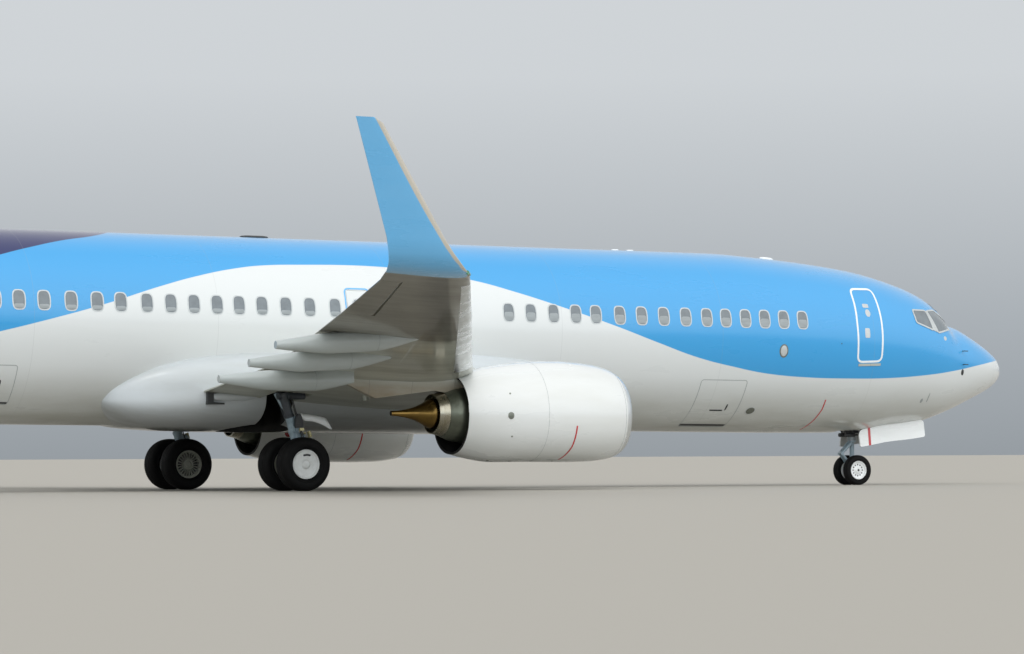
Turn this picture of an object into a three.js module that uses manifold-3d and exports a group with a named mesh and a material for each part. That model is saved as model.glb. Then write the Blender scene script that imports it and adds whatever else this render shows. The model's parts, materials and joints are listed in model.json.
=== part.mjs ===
// A narrow-body twin-jet airliner parked on its gear, at full size. Millimetres, +X to the nose, +Y to
// the left wing, +Z up. Places along the body are given as metres aft of the nose tip, heights as metres
// above the ground under the main wheels, both with the fuselage level. The last lines set the aircraft
// down on its three legs, slightly nose-down, with the middle of its length at the origin.
import * as THREE from "three";
import { mergeVertices } from "three/addons/utils/BufferGeometryUtils.js";
import Module from "manifold-3d";

const wasm = await Module();
wasm.setup();

const M = 1000; // millimetres in a metre
const NOSE_DOWN = THREE.MathUtils.degToRad(0.6); // ground attitude
const SEAT = 0.3 / M; // gap between pieces that touch, in metres
const CLEAR = 0.02; // gap around a control surface's ends, in metres
const HINGE_CLEAR = 0.012; // gap ahead of a control surface's nose

const NOSE_GEAR = 4.14; // aft of the nose tip
const MAIN_GEAR = 19.71;
const GEAR_TRACK = 2.86; // centreline to a main leg
const AROUND_BODY = 28; // facets round the fuselage
const AROUND_ENGINE = 24;

// Fuselage sections: [aft, crown, keel, half width, height of the widest line].
const FUSELAGE = [
  [0.117, 2.84, 2.76, 0.05, 2.8],
  [0.17, 2.95, 2.65, 0.19, 2.8],
  [0.27, 3.115, 2.538, 0.34, 2.82],
  [0.47, 3.272, 2.4, 0.53, 2.83],
  [0.77, 3.446, 2.255, 0.73, 2.86],
  [1.17, 3.651, 2.082, 0.935, 2.9],
  [1.57, 3.829, 1.91, 1.1, 2.94],
  [1.97, 3.932, 1.762, 1.24, 2.99],
  [2.37, 4.399, 1.636, 1.36, 3.07],
  [2.87, 4.648, 1.56, 1.49, 3.17],
  [3.42, 4.819, 1.503, 1.6, 3.25],
  [4.32, 5.022, 1.368, 1.74, 3.33],
  [5.52, 5.172, 1.342, 1.84, 3.39],
  [7.02, 5.286, 1.33, 1.88, 3.44],
  [8.2, 5.34, 1.33, 1.88, 3.46],
  [25.5, 5.34, 1.33, 1.88, 3.46],
  [27.0, 5.34, 1.37, 1.87, 3.48],
  [28.5, 5.335, 1.52, 1.83, 3.55],
  [30.0, 5.32, 1.78, 1.74, 3.66],
  [31.5, 5.29, 2.11, 1.58, 3.8],
  [33.0, 5.24, 2.49, 1.36, 3.95],
  [34.5, 5.16, 2.89, 1.08, 4.1],
  [35.6, 5.06, 3.22, 0.83, 4.2],
  [36.6, 4.94, 3.54, 0.6, 4.28],
  [37.5, 4.79, 3.84, 0.4, 4.33],
  [38.14, 4.63, 4.05, 0.26, 4.35],
];
// Where the skin's big panels meet: [node, from, to].
const FUSELAGE_SECTIONS = [
  ["radome", 0.117, 1.17],
  ["nose_section", 1.17, 7.02],
  ["centre_section", 7.02, 25.5],
  ["aft_section", 25.5, 36.6],
  ["tail_cone", 36.6, 38.14],
];
// Wing-to-body fairing: [aft, half width, bottom, top].
const FAIRING = [
  [12.3, 1.5, 1.75, 2.65],
  [12.9, 1.8, 1.5, 2.86],
  [14.0, 2.02, 1.26, 3.0],
  [15.5, 2.12, 1.22, 3.04],
  [20.0, 2.12, 1.22, 2.97],
  [21.2, 2.07, 1.23, 2.87],
  [22.1, 1.92, 1.27, 2.7],
  [22.65, 1.72, 1.36, 2.5],
  [23.0, 1.52, 1.5, 2.3],
  [23.2, 1.33, 1.63, 2.13],
  [23.3, 1.12, 1.78, 2.0],
];
// Left wing: [out, leading edge, trailing edge, height at quarter chord, twist in degrees, thickness share].
const WING = {
  root: [1.1, 13.67, 21.35, 2.04, 1.5, 0.155],
  glove: [4.6, 16.5, 21.45, 2.42, 0.8, 0.13],
  kink: [5.75, 17.13, 21.48, 2.55, 0.5, 0.125],
  aileronIn: [12.35, 20.73, 23.39, 3.26, -0.3, 0.11],
  aileronOut: [16.1, 22.78, 24.55, 3.67, -0.5, 0.105],
  tip: [17.0, 23.28, 24.9, 3.77, -0.5, 0.105],
};
const SLAT_SHARE = 0.1; // of the chord
const INNER_FLAP_SHARE = 0.83;
const OUTER_FLAP_SHARE = 0.73;
const AILERON_HINGE = 0.78;
const AILERON_GAP_SHARE = 0.748; // the wing's rear face ahead of the aileron
const SLAT_FROM = 5.9;
const INNER_FLAP_END = 5.35;
const WING_CAMBER = 0.015;
// Winglet: [out, leading edge, trailing edge, height, cant in degrees, thickness share].
const WINGLET = [
  [17.0, 23.28, 24.9, 3.77, 0, 0.105],
  [17.26, 23.47, 25.01, 3.81, 16, 0.1],
  [17.46, 23.68, 25.08, 3.92, 40, 0.095],
  [17.57, 23.89, 25.14, 4.09, 64, 0.09],
  [17.63, 24.1, 25.21, 4.33, 78, 0.085],
  [17.88, 25.42, 25.9, 6.22, 81, 0.08],
  [17.9, 25.6, 25.94, 6.31, 81, 0.08],
];
// Flap track fairings: [name, out, front, rear end, height at the front, height at the rear].
const CANOES = [
  ["inner", 5.62, 19.75, 22.7, 2.18, 2.2],
  ["middle", 7.9, 20.1, 23.13, 2.6, 2.455],
  ["outer", 10.2, 20.7, 23.68, 2.9, 2.73],
];
// Tailplane: [out, leading edge, trailing edge, height, twist, thickness share].
const TAILPLANE = {
  root: [0.3, 33.3, 37.45, 4.4, 0, 0.11],
  middle: 3.7,
  elevatorIn: [0.98],
  tip: [7.16, 37.85, 39.15, 5.24, 0, 0.09],
};
const ELEVATOR_HINGE = 0.72;
// Fin: [height, leading edge, trailing edge, thickness share].
const FIN = {
  foot: [4.5, 30.8, 37.1, 0.1],
  rudderFoot: [5.14, 31.33, 37.3, 0.1],
  tip: [12.38, 37.25, 39.59, 0.09],
};
const RUDDER_HINGE = 0.72;
const DORSAL = [
  [5.1, 26.6, 33.4, 0.045],
  [5.52, 29.1, 33.6, 0.05],
  [6.5, 32.2, 34.2, 0.07],
];
// Engine, about an axis at ENGINE_OUT and ENGINE_UP.
const ENGINE_OUT = 4.83;
const ENGINE_UP = 1.58;
// Nacelle outside: [aft, top, bottom, half width]; inside: [aft, radius, drop of its middle].
const NACELLE_OUTSIDE = [
  [13.3, 2.37, 0.82, 0.785],
  [13.36, 2.45, 0.755, 0.86],
  [13.6, 2.57, 0.68, 0.96],
  [14.0, 2.65, 0.635, 1.03],
  [14.7, 2.7, 0.62, 1.07],
  [15.4, 2.68, 0.62, 1.06],
  [16.2, 2.58, 0.61, 0.99],
  [16.7, 2.48, 0.67, 0.89],
  [17.12, 2.37, 0.76, 0.785],
];
const NACELLE_INSIDE = [
  [17.12, 0.765, 0.015],
  [16.3, 0.86, 0],
  [15.0, 0.83, 0],
  [14.45, 0.79, 0],
  [13.95, 0.785, 0],
  [13.55, 0.74, 0],
  [13.35, 0.75, 0],
];
const CORE = [
  [14.42, 0.3],
  [14.9, 0.42],
  [15.5, 0.56],
  [16.4, 0.62],
  [17.1, 0.55],
  [17.36, 0.455],
];
const NOZZLE = [
  [17.36, 0.45],
  [17.58, 0.405],
  [17.58, 0.385],
  [17.36, 0.4],
];
const PLUG = [
  [17.36, 0.31],
  [17.62, 0.3],
  [17.78, 0.215],
  [18.0, 0.125],
  [18.3, 0.065],
  [18.5, 0.05],
];
const SPINNER = [
  [13.7, 0.03],
  [13.8, 0.12],
  [14.02, 0.26],
  [14.3, 0.27],
];
const FAN_RADIUS = 0.772;
const FAN_BLADES = 24;
const VANES = 10;
// Pylon: [aft, top, bottom, half width].
const PYLON = [
  [14.72, 2.72, 2.5, 0.03],
  [15.1, 2.79, 2.2, 0.13],
  [15.7, 2.88, 2.0, 0.2],
  [16.6, 2.83, 1.95, 0.24],
  [17.1, 2.76, 1.98, 0.24],
  [17.6, 2.7, 2.05, 0.22],
  [18.9, 2.55, 1.88, 0.15],
  [19.85, 2.42, 2.3, 0.03],
];
// Gear.
const MAIN_TYRE = { radius: 0.553, width: 0.42, rim: 0.3, sides: 20 };
const NOSE_TYRE = { radius: 0.343, width: 0.197, rim: 0.21, sides: 16 };
const MAIN_WHEEL_OUT = 0.43; // from the leg to a wheel's middle
const NOSE_WHEEL_OUT = 0.205;
const WELL = {
  radius: 0.66,
  out: 0.8,
  top: 2.25,
  slotFrom: 19.38,
  slotTo: 20.14,
  slotOut: 3.02,
  slotTop: 2.04,
};
const NOSE_WELL = { from: 2.42, to: 4.75, half: 0.33, top: 2.2 };
const NOSE_DOOR = { from: 2.42, to: 4.2, height: 0.39, thick: 0.035, open: 0.015 };
// Overwing exits: middles aft of the nose, and their size.
const EXITS = {
  fore: 16.7,
  aft: 17.73,
  width: 0.51,
  bottom: 3.24,
  top: 4.2,
  thick: 0.06,
  deep: 0.08,
  gap: 0.007,
};
const KNUCKLE = 0.012;

const PAINT = {
  white: [0xe9edf0, 0.3, 0],
  blue: [0x4aa9e8, 0.28, 0],
  navy: [0x1f2f78, 0.3, 0],
  grey: [0xb9bfc1, 0.4, 0],
  metal: [0xc4c8cb, 0.3, 0.9],
  core: [0x5c625c, 0.5, 0.7],
  bronze: [0x8a6a35, 0.4, 0.9],
  fan: [0x2c3136, 0.35, 0.8],
  strut: [0x9aa2a6, 0.35, 0.4],
  hub: [0xd8dbdb, 0.35, 0.1],
  rubber: [0x141414, 0.85, 0],
};

const aircraft = new THREE.Group();
const x = (aft) => (MAIN_GEAR - aft) * M; // the main wheels stand at x = 0 until the last lines

// Geometry to solid and back.

function solid(geometry) {
  const plain = new THREE.BufferGeometry();
  plain.setAttribute("position", geometry.getAttribute("position").clone());
  if (geometry.index) plain.setIndex(geometry.index.clone());
  const merged = mergeVertices(plain, 1e-3);
  return new wasm.Manifold(
    new wasm.Mesh({
      numProp: 3,
      vertProperties: merged.getAttribute("position").array,
      triVerts: new Uint32Array(merged.index.array),
    }),
  );
}

function geometryOf(body) {
  const mesh = body.getMesh();
  const geometry = new THREE.BufferGeometry();
  geometry.setAttribute("position", new THREE.BufferAttribute(new Float32Array(mesh.vertProperties), 3));
  geometry.setIndex(new THREE.BufferAttribute(new Uint32Array(mesh.triVerts), 1));
  geometry.computeVertexNormals();
  return geometry;
}

// The biggest body of a cut, without the slivers that a cut can leave.
function biggest(body) {
  const bodies = body.decompose();
  return bodies.reduce((a, b) => (b.volume() > a.volume() ? b : a));
}

const cut = (body, ...tools) => tools.reduce((left, tool) => left.subtract(tool), body);
const join = (...bodies) => bodies.reduce((all, body) => all.add(body));

// Skins equal rings of points into one closed solid: with flat ends, or closed on itself.
// A thin twisted body is folded the same way on its two sides, so that they never meet.
function loft(rings, closed = false, thin = false) {
  const count = rings[0].length;
  const points = rings.flat();
  const faces = [];
  const steps = closed ? rings.length : rings.length - 1;
  for (let i = 0; i < steps; i++) {
    const a = i * count;
    const b = ((i + 1) % rings.length) * count;
    for (let k = 0; k < count; k++) {
      const l = (k + 1) % count;
      if (thin && k >= count / 2) faces.push(a + k, b + k, a + l, b + k, b + l, a + l);
      else faces.push(a + k, b + k, b + l, a + k, b + l, a + l);
    }
  }
  if (!closed) {
    for (const [ring, start, flip] of [
      [rings[0], 0, false],
      [rings.at(-1), (rings.length - 1) * count, true],
    ]) {
      const middle = points.length;
      points.push(ring.reduce((sum, p) => sum.add(p), new THREE.Vector3()).divideScalar(count));
      for (let k = 0; k < count; k++) {
        const l = (k + 1) % count;
        faces.push(middle, start + (flip ? l : k), start + (flip ? k : l));
      }
    }
  }
  const geometry = new THREE.BufferGeometry().setFromPoints(points);
  geometry.setIndex(faces);
  const body = solid(geometry);
  if (body.volume() > 0) return body;
  for (let i = 0; i < faces.length; i += 3) [faces[i], faces[i + 1]] = [faces[i + 1], faces[i]];
  geometry.setIndex(faces);
  return solid(geometry);
}

// A box between two corners, each [aft, out, up] in metres.
function box(low, high) {
  const size = new THREE.Vector3(high[0] - low[0], high[1] - low[1], high[2] - low[2]).multiplyScalar(M);
  const geometry = new THREE.BoxGeometry(size.x, size.y, size.z);
  geometry.translate(
    (x(low[0]) + x(high[0])) / 2,
    ((low[1] + high[1]) / 2) * M,
    ((low[2] + high[2]) / 2) * M,
  );
  return solid(geometry);
}

const at = (aft, out, up) => new THREE.Vector3(x(aft), out * M, up * M);

// A round bar between two points [aft, out, up], tapered if two radii are given.
function bar(from, to, radius, endRadius = radius, sides = 12) {
  const a = at(...from);
  const b = at(...to);
  const geometry = new THREE.CylinderGeometry(endRadius * M, radius * M, a.distanceTo(b), sides);
  geometry.applyQuaternion(
    new THREE.Quaternion().setFromUnitVectors(new THREE.Vector3(0, 1, 0), b.clone().sub(a).normalize()),
  );
  geometry.translate(...a.add(b).multiplyScalar(0.5).toArray());
  return solid(geometry);
}

// A body of revolution about a fore-and-aft line, from a profile of [aft, radius].
function spun(profile, out, up, sides, closed = false) {
  const rings = profile.map(([aft, radius]) =>
    Array.from({ length: sides }, (_, k) => {
      const angle = ((k + 0.5) / sides) * 2 * Math.PI;
      return at(aft, out + radius * Math.cos(angle), up + radius * Math.sin(angle));
    }),
  );
  return loft(rings, closed);
}

const bothSides = (body) => [body, body.mirror([0, 1, 0])];

// Adding a node.

function node(name, body, paint) {
  const [color, roughness, metalness] = PAINT[paint];
  const material = new THREE.MeshStandardMaterial({ color, roughness, metalness });
  const mesh = new THREE.Mesh(body.isBufferGeometry ? body : geometryOf(biggest(body)), material);
  mesh.name = name;
  aircraft.add(mesh);
  return mesh;
}

// The left piece, and its mirror image on the right.
function pair(name, body, paint) {
  const geometry = geometryOf(biggest(body));
  const left = node(name + "_left", geometry, paint);
  const right = node(name + "_right", geometry, paint);
  right.scale.y = -1;
  return [left, right];
}

// A pivot whose own z axis is the hinge line, from one point to another. Meshes hang on it as they stand.
function pivot(name, from, to, ...meshes) {
  const group = new THREE.Group();
  group.name = name;
  group.position.copy(from);
  group.quaternion.setFromUnitVectors(new THREE.Vector3(0, 0, 1), to.clone().sub(from).normalize());
  aircraft.add(group);
  aircraft.updateMatrixWorld(true);
  for (const mesh of meshes) group.attach(mesh);
}

const mirrored = (point) => new THREE.Vector3(point.x, -point.y, point.z);

function pivotPair(name, from, to, [left, right]) {
  pivot(name + "_left", from, to, left);
  pivot(name + "_right", mirrored(from), mirrored(to), right);
}

// Fuselage.

// A row of a table at any station, straight between the rows given.
function rowAt(table, aft) {
  const i = Math.min(table.length - 2, Math.max(0, table.findLastIndex((row) => row[0] <= aft)));
  const share = (aft - table[i][0]) / (table[i + 1][0] - table[i][0]);
  return table[i].map((value, k) => value + (table[i + 1][k] - value) * share);
}

function rowsBetween(table, from, to) {
  const inside = table.filter((row) => row[0] > from + 1e-6 && row[0] < to - 1e-6);
  return [rowAt(table, from), ...inside, rowAt(table, to)];
}

// The share of a quarter circle, squared off by a superellipse power.
const squared = (value, power) => Math.sign(value) * Math.abs(value) ** (2 / power);

function bodyRing([aft, crown, keel, half, widest], grow) {
  return Array.from({ length: AROUND_BODY }, (_, k) => {
    const angle = (k / AROUND_BODY) * 2 * Math.PI;
    const rise = Math.sin(angle) > 0 ? crown - widest : widest - keel;
    return at(aft, (half + grow) * Math.cos(angle), widest + (rise + grow) * Math.sin(angle));
  });
}

const fuselage = (from, to, grow = 0) =>
  loft(rowsBetween(FUSELAGE, from, to).map((row) => bodyRing(row, grow)));

const grownFuselage = fuselage(9, 38, SEAT);

function wheelWells() {
  const half = [1, -1].map((side) => {
    const inner = side * WELL.out;
    const round = bar([MAIN_GEAR, inner, 0.9], [MAIN_GEAR, inner, WELL.top], WELL.radius, WELL.radius, 28);
    const outer = side * WELL.slotOut;
    const slot = box(
      [WELL.slotFrom, Math.min(inner, outer), 0.9],
      [WELL.slotTo, Math.max(inner, outer), WELL.slotTop],
    );
    return join(round, slot);
  });
  return join(...half);
}
const wells = wheelWells();
const noseWell = box([NOSE_WELL.from, -NOSE_WELL.half, 1], [NOSE_WELL.to, NOSE_WELL.half, NOSE_WELL.top]);

// An overwing exit's box, cut from the skin of the left side.
function exitBlock(middle, grow) {
  const half = EXITS.width / 2 + grow;
  return box([middle - half, 1, EXITS.bottom - grow], [middle + half, 2.5, EXITS.top + grow]);
}

// The hinge line of an exit lies on the skin, in the gap above the hatch.
function exitHinge(middle) {
  const up = EXITS.top + EXITS.gap / 2;
  const [, crown, , half, widest] = rowAt(FUSELAGE, middle);
  const out = half * Math.sqrt(1 - ((up - widest) / (crown - widest)) ** 2);
  return { out, up, from: middle - EXITS.width / 3, to: middle + EXITS.width / 3 };
}

function knuckle(middle, radius, lengthen) {
  const { out, up, from, to } = exitHinge(middle);
  return bar([from - lengthen, out, up], [to + lengthen, out, up], radius, radius, 16);
}

function exitCuts() {
  const deep = fuselage(15, 19, -EXITS.deep);
  const left = [EXITS.fore, EXITS.aft].map((middle) =>
    join(
      exitBlock(middle, EXITS.gap).subtract(deep),
      knuckle(middle, KNUCKLE / Math.cos(Math.PI / 16) + SEAT, EXITS.gap),
    ),
  );
  return left.flatMap(bothSides);
}

for (const [name, from, to] of FUSELAGE_SECTIONS) {
  let body = fuselage(from + SEAT / 2, to - SEAT / 2);
  if (name === "nose_section") body = cut(body, noseWell);
  if (name === "centre_section") body = cut(body, wells, ...exitCuts());
  node(name, body, name === "aft_section" || name === "tail_cone" ? "navy" : "white");
}

function exitHatches() {
  const shell = fuselage(15, 19).subtract(fuselage(15, 19, -EXITS.thick));
  for (const [label, middle] of [["fore", EXITS.fore], ["aft", EXITS.aft]]) {
    const hatch = join(exitBlock(middle, 0).intersect(shell), knuckle(middle, KNUCKLE, 0));
    const { out, up, from, to } = exitHinge(middle);
    const hatches = pair("exit_" + label, hatch, "white");
    pivotPair("exit_hinge_" + label, at(to, out, up), at(from, out, up), hatches);
  }
}
exitHatches();

function fairingRing([aft, half, bottom, top], grow) {
  const middle = bottom + (top - bottom) * 0.47;
  return Array.from({ length: AROUND_BODY }, (_, k) => {
    const angle = (k / AROUND_BODY) * 2 * Math.PI;
    const upper = Math.sin(angle) > 0;
    const power = upper ? 4.5 : 2.8;
    const rise = upper ? top - middle : middle - bottom;
    return at(
      aft,
      (half + grow) * squared(Math.cos(angle), power),
      middle + (rise + grow) * squared(Math.sin(angle), power),
    );
  });
}
const fairing = (grow) => loft(FAIRING.map((row) => fairingRing(row, grow)));
node("belly_fairing", cut(fairing(0), fuselage(9, 26, SEAT), wells), "white");

// Wing, tailplane and fin share one family of sections.

// Half thickness of a symmetrical section at a share of the chord, per unit chord.
function halfThickness(s, thick) {
  const share = 0.2969 * Math.sqrt(s) - 0.126 * s - 0.3516 * s ** 2 + 0.2843 * s ** 3 - 0.1015 * s ** 4;
  return 5 * thick * share;
}
const TRAILING_EDGE = 0.004; // half its thickness, in metres

// A station of a lifting surface. Its point() takes a share of the chord and a height above the chord line
// in metres, along the normal that the cant gives.
function station([out, lead, trail, up, twist, thick], cant = 0) {
  const chord = trail - lead;
  const tilt = THREE.MathUtils.degToRad(twist);
  const lean = THREE.MathUtils.degToRad(cant);
  const camber = (share) => chord * WING_CAMBER * 4 * share * (1 - share) * (cant || thick > 0.1045 ? 1 : 0);
  return {
    chord,
    camber,
    half: (share) => chord * halfThickness(share, thick) + TRAILING_EDGE * share,
    point(share, height) {
      const back = (share - 0.25) * chord;
      const aft = lead + 0.25 * chord + back * Math.cos(tilt) - height * Math.sin(tilt);
      const rise = -back * Math.sin(tilt) + height * Math.cos(tilt);
      return at(aft, out - rise * Math.sin(lean), up + rise * Math.cos(lean));
    },
  };
}

const SHARES = [0, 0.006, 0.025, 0.07, 0.15, 0.27, 0.42, 0.56, 0.68, 0.79, 0.9, 1];

// The ring of a section between two shares of its chord, a little shorter or fatter by `grow` metres.
function portion(place, from, to, grow = 0) {
  const shares = [from, ...SHARES.filter((s) => s > from + 0.004 && s < to - 0.004), to];
  const side = (sign) =>
    shares.map((share) => place.point(share, place.camber(share) + sign * (place.half(share) + grow)));
  const upper = side(1);
  const lower = side(-1).reverse();
  if (from === 0) lower.pop();
  return [...upper, ...lower];
}

const NOSE_STEPS = 5; // facets of a control surface's round nose

// The ring of a control surface: a half-round nose on the hinge line, then the section to its trailing edge.
function movable(place, hinge) {
  const middle = place.camber(hinge);
  const radius = place.half(hinge);
  const nose = Array.from({ length: NOSE_STEPS - 1 }, (_, k) => {
    const angle = ((k + 1) / NOSE_STEPS) * Math.PI;
    return place.point(hinge - (radius * Math.sin(angle)) / place.chord, middle - radius * Math.cos(angle));
  });
  return [...portion(place, hinge, 1), ...nose];
}

const hingePoint = (place, hinge) => place.point(hinge, place.camber(hinge));

const LUG_THICKNESS = 0.024;

// The hinge lugs of a control surface: flat plates square to the hinge line, for the fixed part, and the
// round slots that they sit in, for the moving part. `shares` says where they are along the span.
function hingeLugs(places, hinge, shares) {
  const [a, b] = places.map((place) => hingePoint(place, hinge));
  const [frontA, frontB] = places.map((place) => place.point(hinge - 0.1, place.camber(hinge)));
  const along = b.clone().sub(a).normalize();
  const lugs = [];
  const slots = [];
  for (const share of shares) {
    const pin = a.clone().lerp(b, share);
    const forward = frontA.clone().lerp(frontB, share).sub(pin);
    forward.addScaledVector(along, -forward.dot(along)).normalize();
    const across = along.clone().cross(forward);
    const radius = THREE.MathUtils.lerp(places[0].half(hinge), places[1].half(hinge), share);
    const spot = (back, rise, side) =>
      pin
        .clone()
        .addScaledVector(forward, -back * M)
        .addScaledVector(across, rise * M)
        .addScaledVector(along, side * M);
    const lug = (side) => [
      spot(-radius - 0.06, radius * 0.5, side),
      ...[90, 54, 18, -18, -54, -90].map((degrees) => {
        const angle = THREE.MathUtils.degToRad(degrees);
        return spot(radius * 0.5 * Math.cos(angle), radius * 0.5 * Math.sin(angle), side);
      }),
      spot(-radius - 0.06, -radius * 0.5, side),
    ];
    const disc = (side) =>
      Array.from({ length: 16 }, (_, k) => {
        const angle = (k / 16) * 2 * Math.PI;
        return spot((radius + 0.004) * Math.cos(angle), (radius + 0.004) * Math.sin(angle), side);
      });
    const half = LUG_THICKNESS / 2;
    lugs.push(loft([lug(-half), lug(half)]));
    slots.push(loft([disc(-half - SEAT), disc(half + SEAT)]));
  }
  return { lugs, slots };
}

// A row part-way between two rows, at a distance out.
function between(a, b, out) {
  const share = (out - a[0]) / (b[0] - a[0]);
  return a.map((value, k) => value + (b[k] - value) * share);
}

function wingRow(out) {
  const rows = Object.values(WING);
  const i = Math.min(rows.length - 2, Math.max(0, rows.findLastIndex((row) => row[0] <= out)));
  return between(rows[i], rows[i + 1], out);
}
const wingAt = (out) => station(wingRow(out));

// A station made longer by `grow` at both ends of its chord.
const longer = ([out, lead, trail, ...rest], grow) => station([out, lead - grow, trail + grow, ...rest]);

// A strip of the wing between two distances out and two shares of the chord.
function wingStrip(outs, from, to, grow = 0) {
  const kept = Object.values(WING)
    .map((row) => row[0])
    .filter((out) => out > outs[0] + 0.01 && out < outs[1] - 0.01);
  return loft(
    [outs[0] - grow, ...kept, outs[1] + grow].map((out) => portion(longer(wingRow(out), grow), from, to, grow)),
  );
}

// Shares of the chord that stand a seat's gap ahead of a flap or behind a slat.
const SEAT_SHARE = 0.0003;

const OUTER_FLAP = [INNER_FLAP_END + 0.02, WING.aileronIn[0] - CLEAR];
function canoe([, out, front, rear, frontUp, rearUp]) {
  // Along a fairing: [share of its length, rise and drop from its line, half width]. Its front end runs up
  // into the wing.
  const shape = [
    [0, 0.24, 0.01, 0.03],
    [0.08, 0.3, 0.07, 0.08],
    [0.2, 0.3, 0.15, 0.14],
    [0.3, 0.2, 0.19, 0.17],
    [0.6, 0.19, 0.2, 0.17],
    [0.85, 0.12, 0.13, 0.12],
    [1, 0.07, 0.07, 0.06],
  ];
  return loft(
    shape.map(([share, rise, drop, wide]) =>
      Array.from({ length: 12 }, (_, k) => {
        const angle = (k / 12) * 2 * Math.PI;
        const high = Math.sin(angle) > 0 ? rise : drop;
        const up = frontUp + (rearUp - frontUp) * share;
        return at(front + (rear - front) * share, out + wide * Math.cos(angle), up + high * Math.sin(angle));
      }),
    ),
  );
}

const JACK_PAD = { aft: 18.3, out: 3.3, up: 1.86, radius: 0.07 };
const FUEL_PANEL = { aft: 20.55, out: 11.2, up: 3.05, half: 0.12 };

const innerWing = (grow) =>
  join(
    wingStrip([WING.root[0], INNER_FLAP_END], 0, INNER_FLAP_SHARE, grow),
    wingStrip([INNER_FLAP_END, SLAT_FROM], 0, OUTER_FLAP_SHARE, grow),
  );

function makeWing() {
  const innerFlap = (grow) => {
    const outs = [2, WING.glove[0], INNER_FLAP_END + grow];
    const from = INNER_FLAP_SHARE - (grow ? SEAT_SHARE : 0);
    return loft(outs.map((out) => portion(longer(wingRow(out), grow), from, 1, grow)));
  };
  const outerFlap = (grow) => wingStrip(OUTER_FLAP, OUTER_FLAP_SHARE - (grow ? SEAT_SHARE : 0), 1, grow);
  const aileronPlaces = [WING.aileronIn[0], WING.aileronOut[0] - CLEAR].map(wingAt);
  const middle = wingStrip([SLAT_FROM, OUTER_FLAP[1]], SLAT_SHARE + SEAT_SHARE, OUTER_FLAP_SHARE);
  const outer = wingStrip([OUTER_FLAP[1], WING.aileronOut[0]], SLAT_SHARE + SEAT_SHARE, AILERON_GAP_SHARE);
  const end = wingStrip([WING.aileronOut[0], WING.tip[0]], 0, 1);
  const pad = bar(
    [JACK_PAD.aft, JACK_PAD.out, JACK_PAD.up],
    [JACK_PAD.aft, JACK_PAD.out, 2.1],
    JACK_PAD.radius,
  );
  const flaps = [innerFlap(2 * SEAT), outerFlap(2 * SEAT)];
  const root = [...bothSides(fairing(2 * SEAT)), ...bothSides(grownFuselage)];
  const hinges = hingeLugs(aileronPlaces, AILERON_HINGE, [0.15, 0.85]);
  const wing = join(innerWing(0), middle, outer, end, pad, ...CANOES.map(canoe), ...hinges.lugs);
  pair("wing", cut(wing, ...root, ...flaps, wells, nacelle(0.008)), "grey");
  pair("slat", wingStrip([SLAT_FROM + CLEAR / 2, WING.aileronOut[0] - CLEAR / 2], 0, SLAT_SHARE), "metal");
  pair("flap_inboard", cut(innerFlap(0), ...root), "grey");
  pair("flap_outboard", outerFlap(0), "grey");
  const surface = loft(aileronPlaces.map((place) => movable(place, AILERON_HINGE)));
  const aileron = pair("aileron", cut(surface, ...hinges.slots), "grey");
  const [from, to] = aileronPlaces.map((place) => hingePoint(place, AILERON_HINGE));
  pivotPair("aileron_hinge", from, to, aileron);
  const winglet = WINGLET.map((row) => {
    const [out, lead, trail, up, cant, thick] = row;
    return station([out + SEAT, lead, trail, up, 0, thick], cant);
  });
  pair("winglet", loft(winglet.map((place) => portion(place, 0, 1))), "blue");
}
makeWing();

// Tail.

function makeTail() {
  const rowAtOut = (out) => between(TAILPLANE.root, TAILPLANE.tip, out);
  const gapShare = (place) => (place.half(ELEVATOR_HINGE) + HINGE_CLEAR) / place.chord;
  const outs = [TAILPLANE.root[0], TAILPLANE.middle, TAILPLANE.tip[0]];
  const places = outs.map((out) => station(rowAtOut(out)));
  const plane = loft(places.map((place) => portion(place, 0, ELEVATOR_HINGE - gapShare(place))));
  const ends = [TAILPLANE.elevatorIn[0], TAILPLANE.tip[0]].map((out) => station(rowAtOut(out)));
  const hinges = hingeLugs(ends, ELEVATOR_HINGE, [0.1, 0.5, 0.9]);
  pair("tailplane", join(cut(plane, ...bothSides(grownFuselage)), ...hinges.lugs), "white");
  const surface = loft(ends.map((place) => movable(place, ELEVATOR_HINGE)));
  const elevator = pair("elevator", cut(surface, ...hinges.slots), "white");
  const [from, to] = ends.map((place) => hingePoint(place, ELEVATOR_HINGE));
  pivotPair("elevator_hinge", from, to, elevator);

  const finStation = ([up, lead, trail, thick]) => {
    const place = station([0, lead, trail, 0, 0, thick]);
    return {
      ...place,
      camber: () => 0,
      point: (share, height) => {
        const flat = place.point(share, 0);
        return new THREE.Vector3(flat.x, height * M, up * M);
      },
    };
  };
  const finPlaces = [FIN.foot, FIN.tip].map(finStation);
  const finGap = (place) => (place.half(RUDDER_HINGE) + HINGE_CLEAR) / place.chord;
  const fin = loft(finPlaces.map((place) => portion(place, 0, RUDDER_HINGE - finGap(place))));
  const dorsal = loft(DORSAL.map(finStation).map((place) => portion(place, 0, 1)));
  const rudderEnds = [FIN.rudderFoot, FIN.tip].map(finStation);
  const rudderHinges = hingeLugs(rudderEnds, RUDDER_HINGE, [0.08, 0.5, 0.92]);
  node("fin", join(cut(join(fin, dorsal), grownFuselage), ...rudderHinges.lugs), "navy");
  const rudderSurface = loft(rudderEnds.map((place) => movable(place, RUDDER_HINGE)));
  const rudder = node("rudder", cut(rudderSurface, ...rudderHinges.slots), "navy");
  const [foot, tip] = rudderEnds.map((place) => hingePoint(place, RUDDER_HINGE));
  pivot("rudder_hinge", foot, tip, rudder);
}
makeTail();

// Engines.

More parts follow.
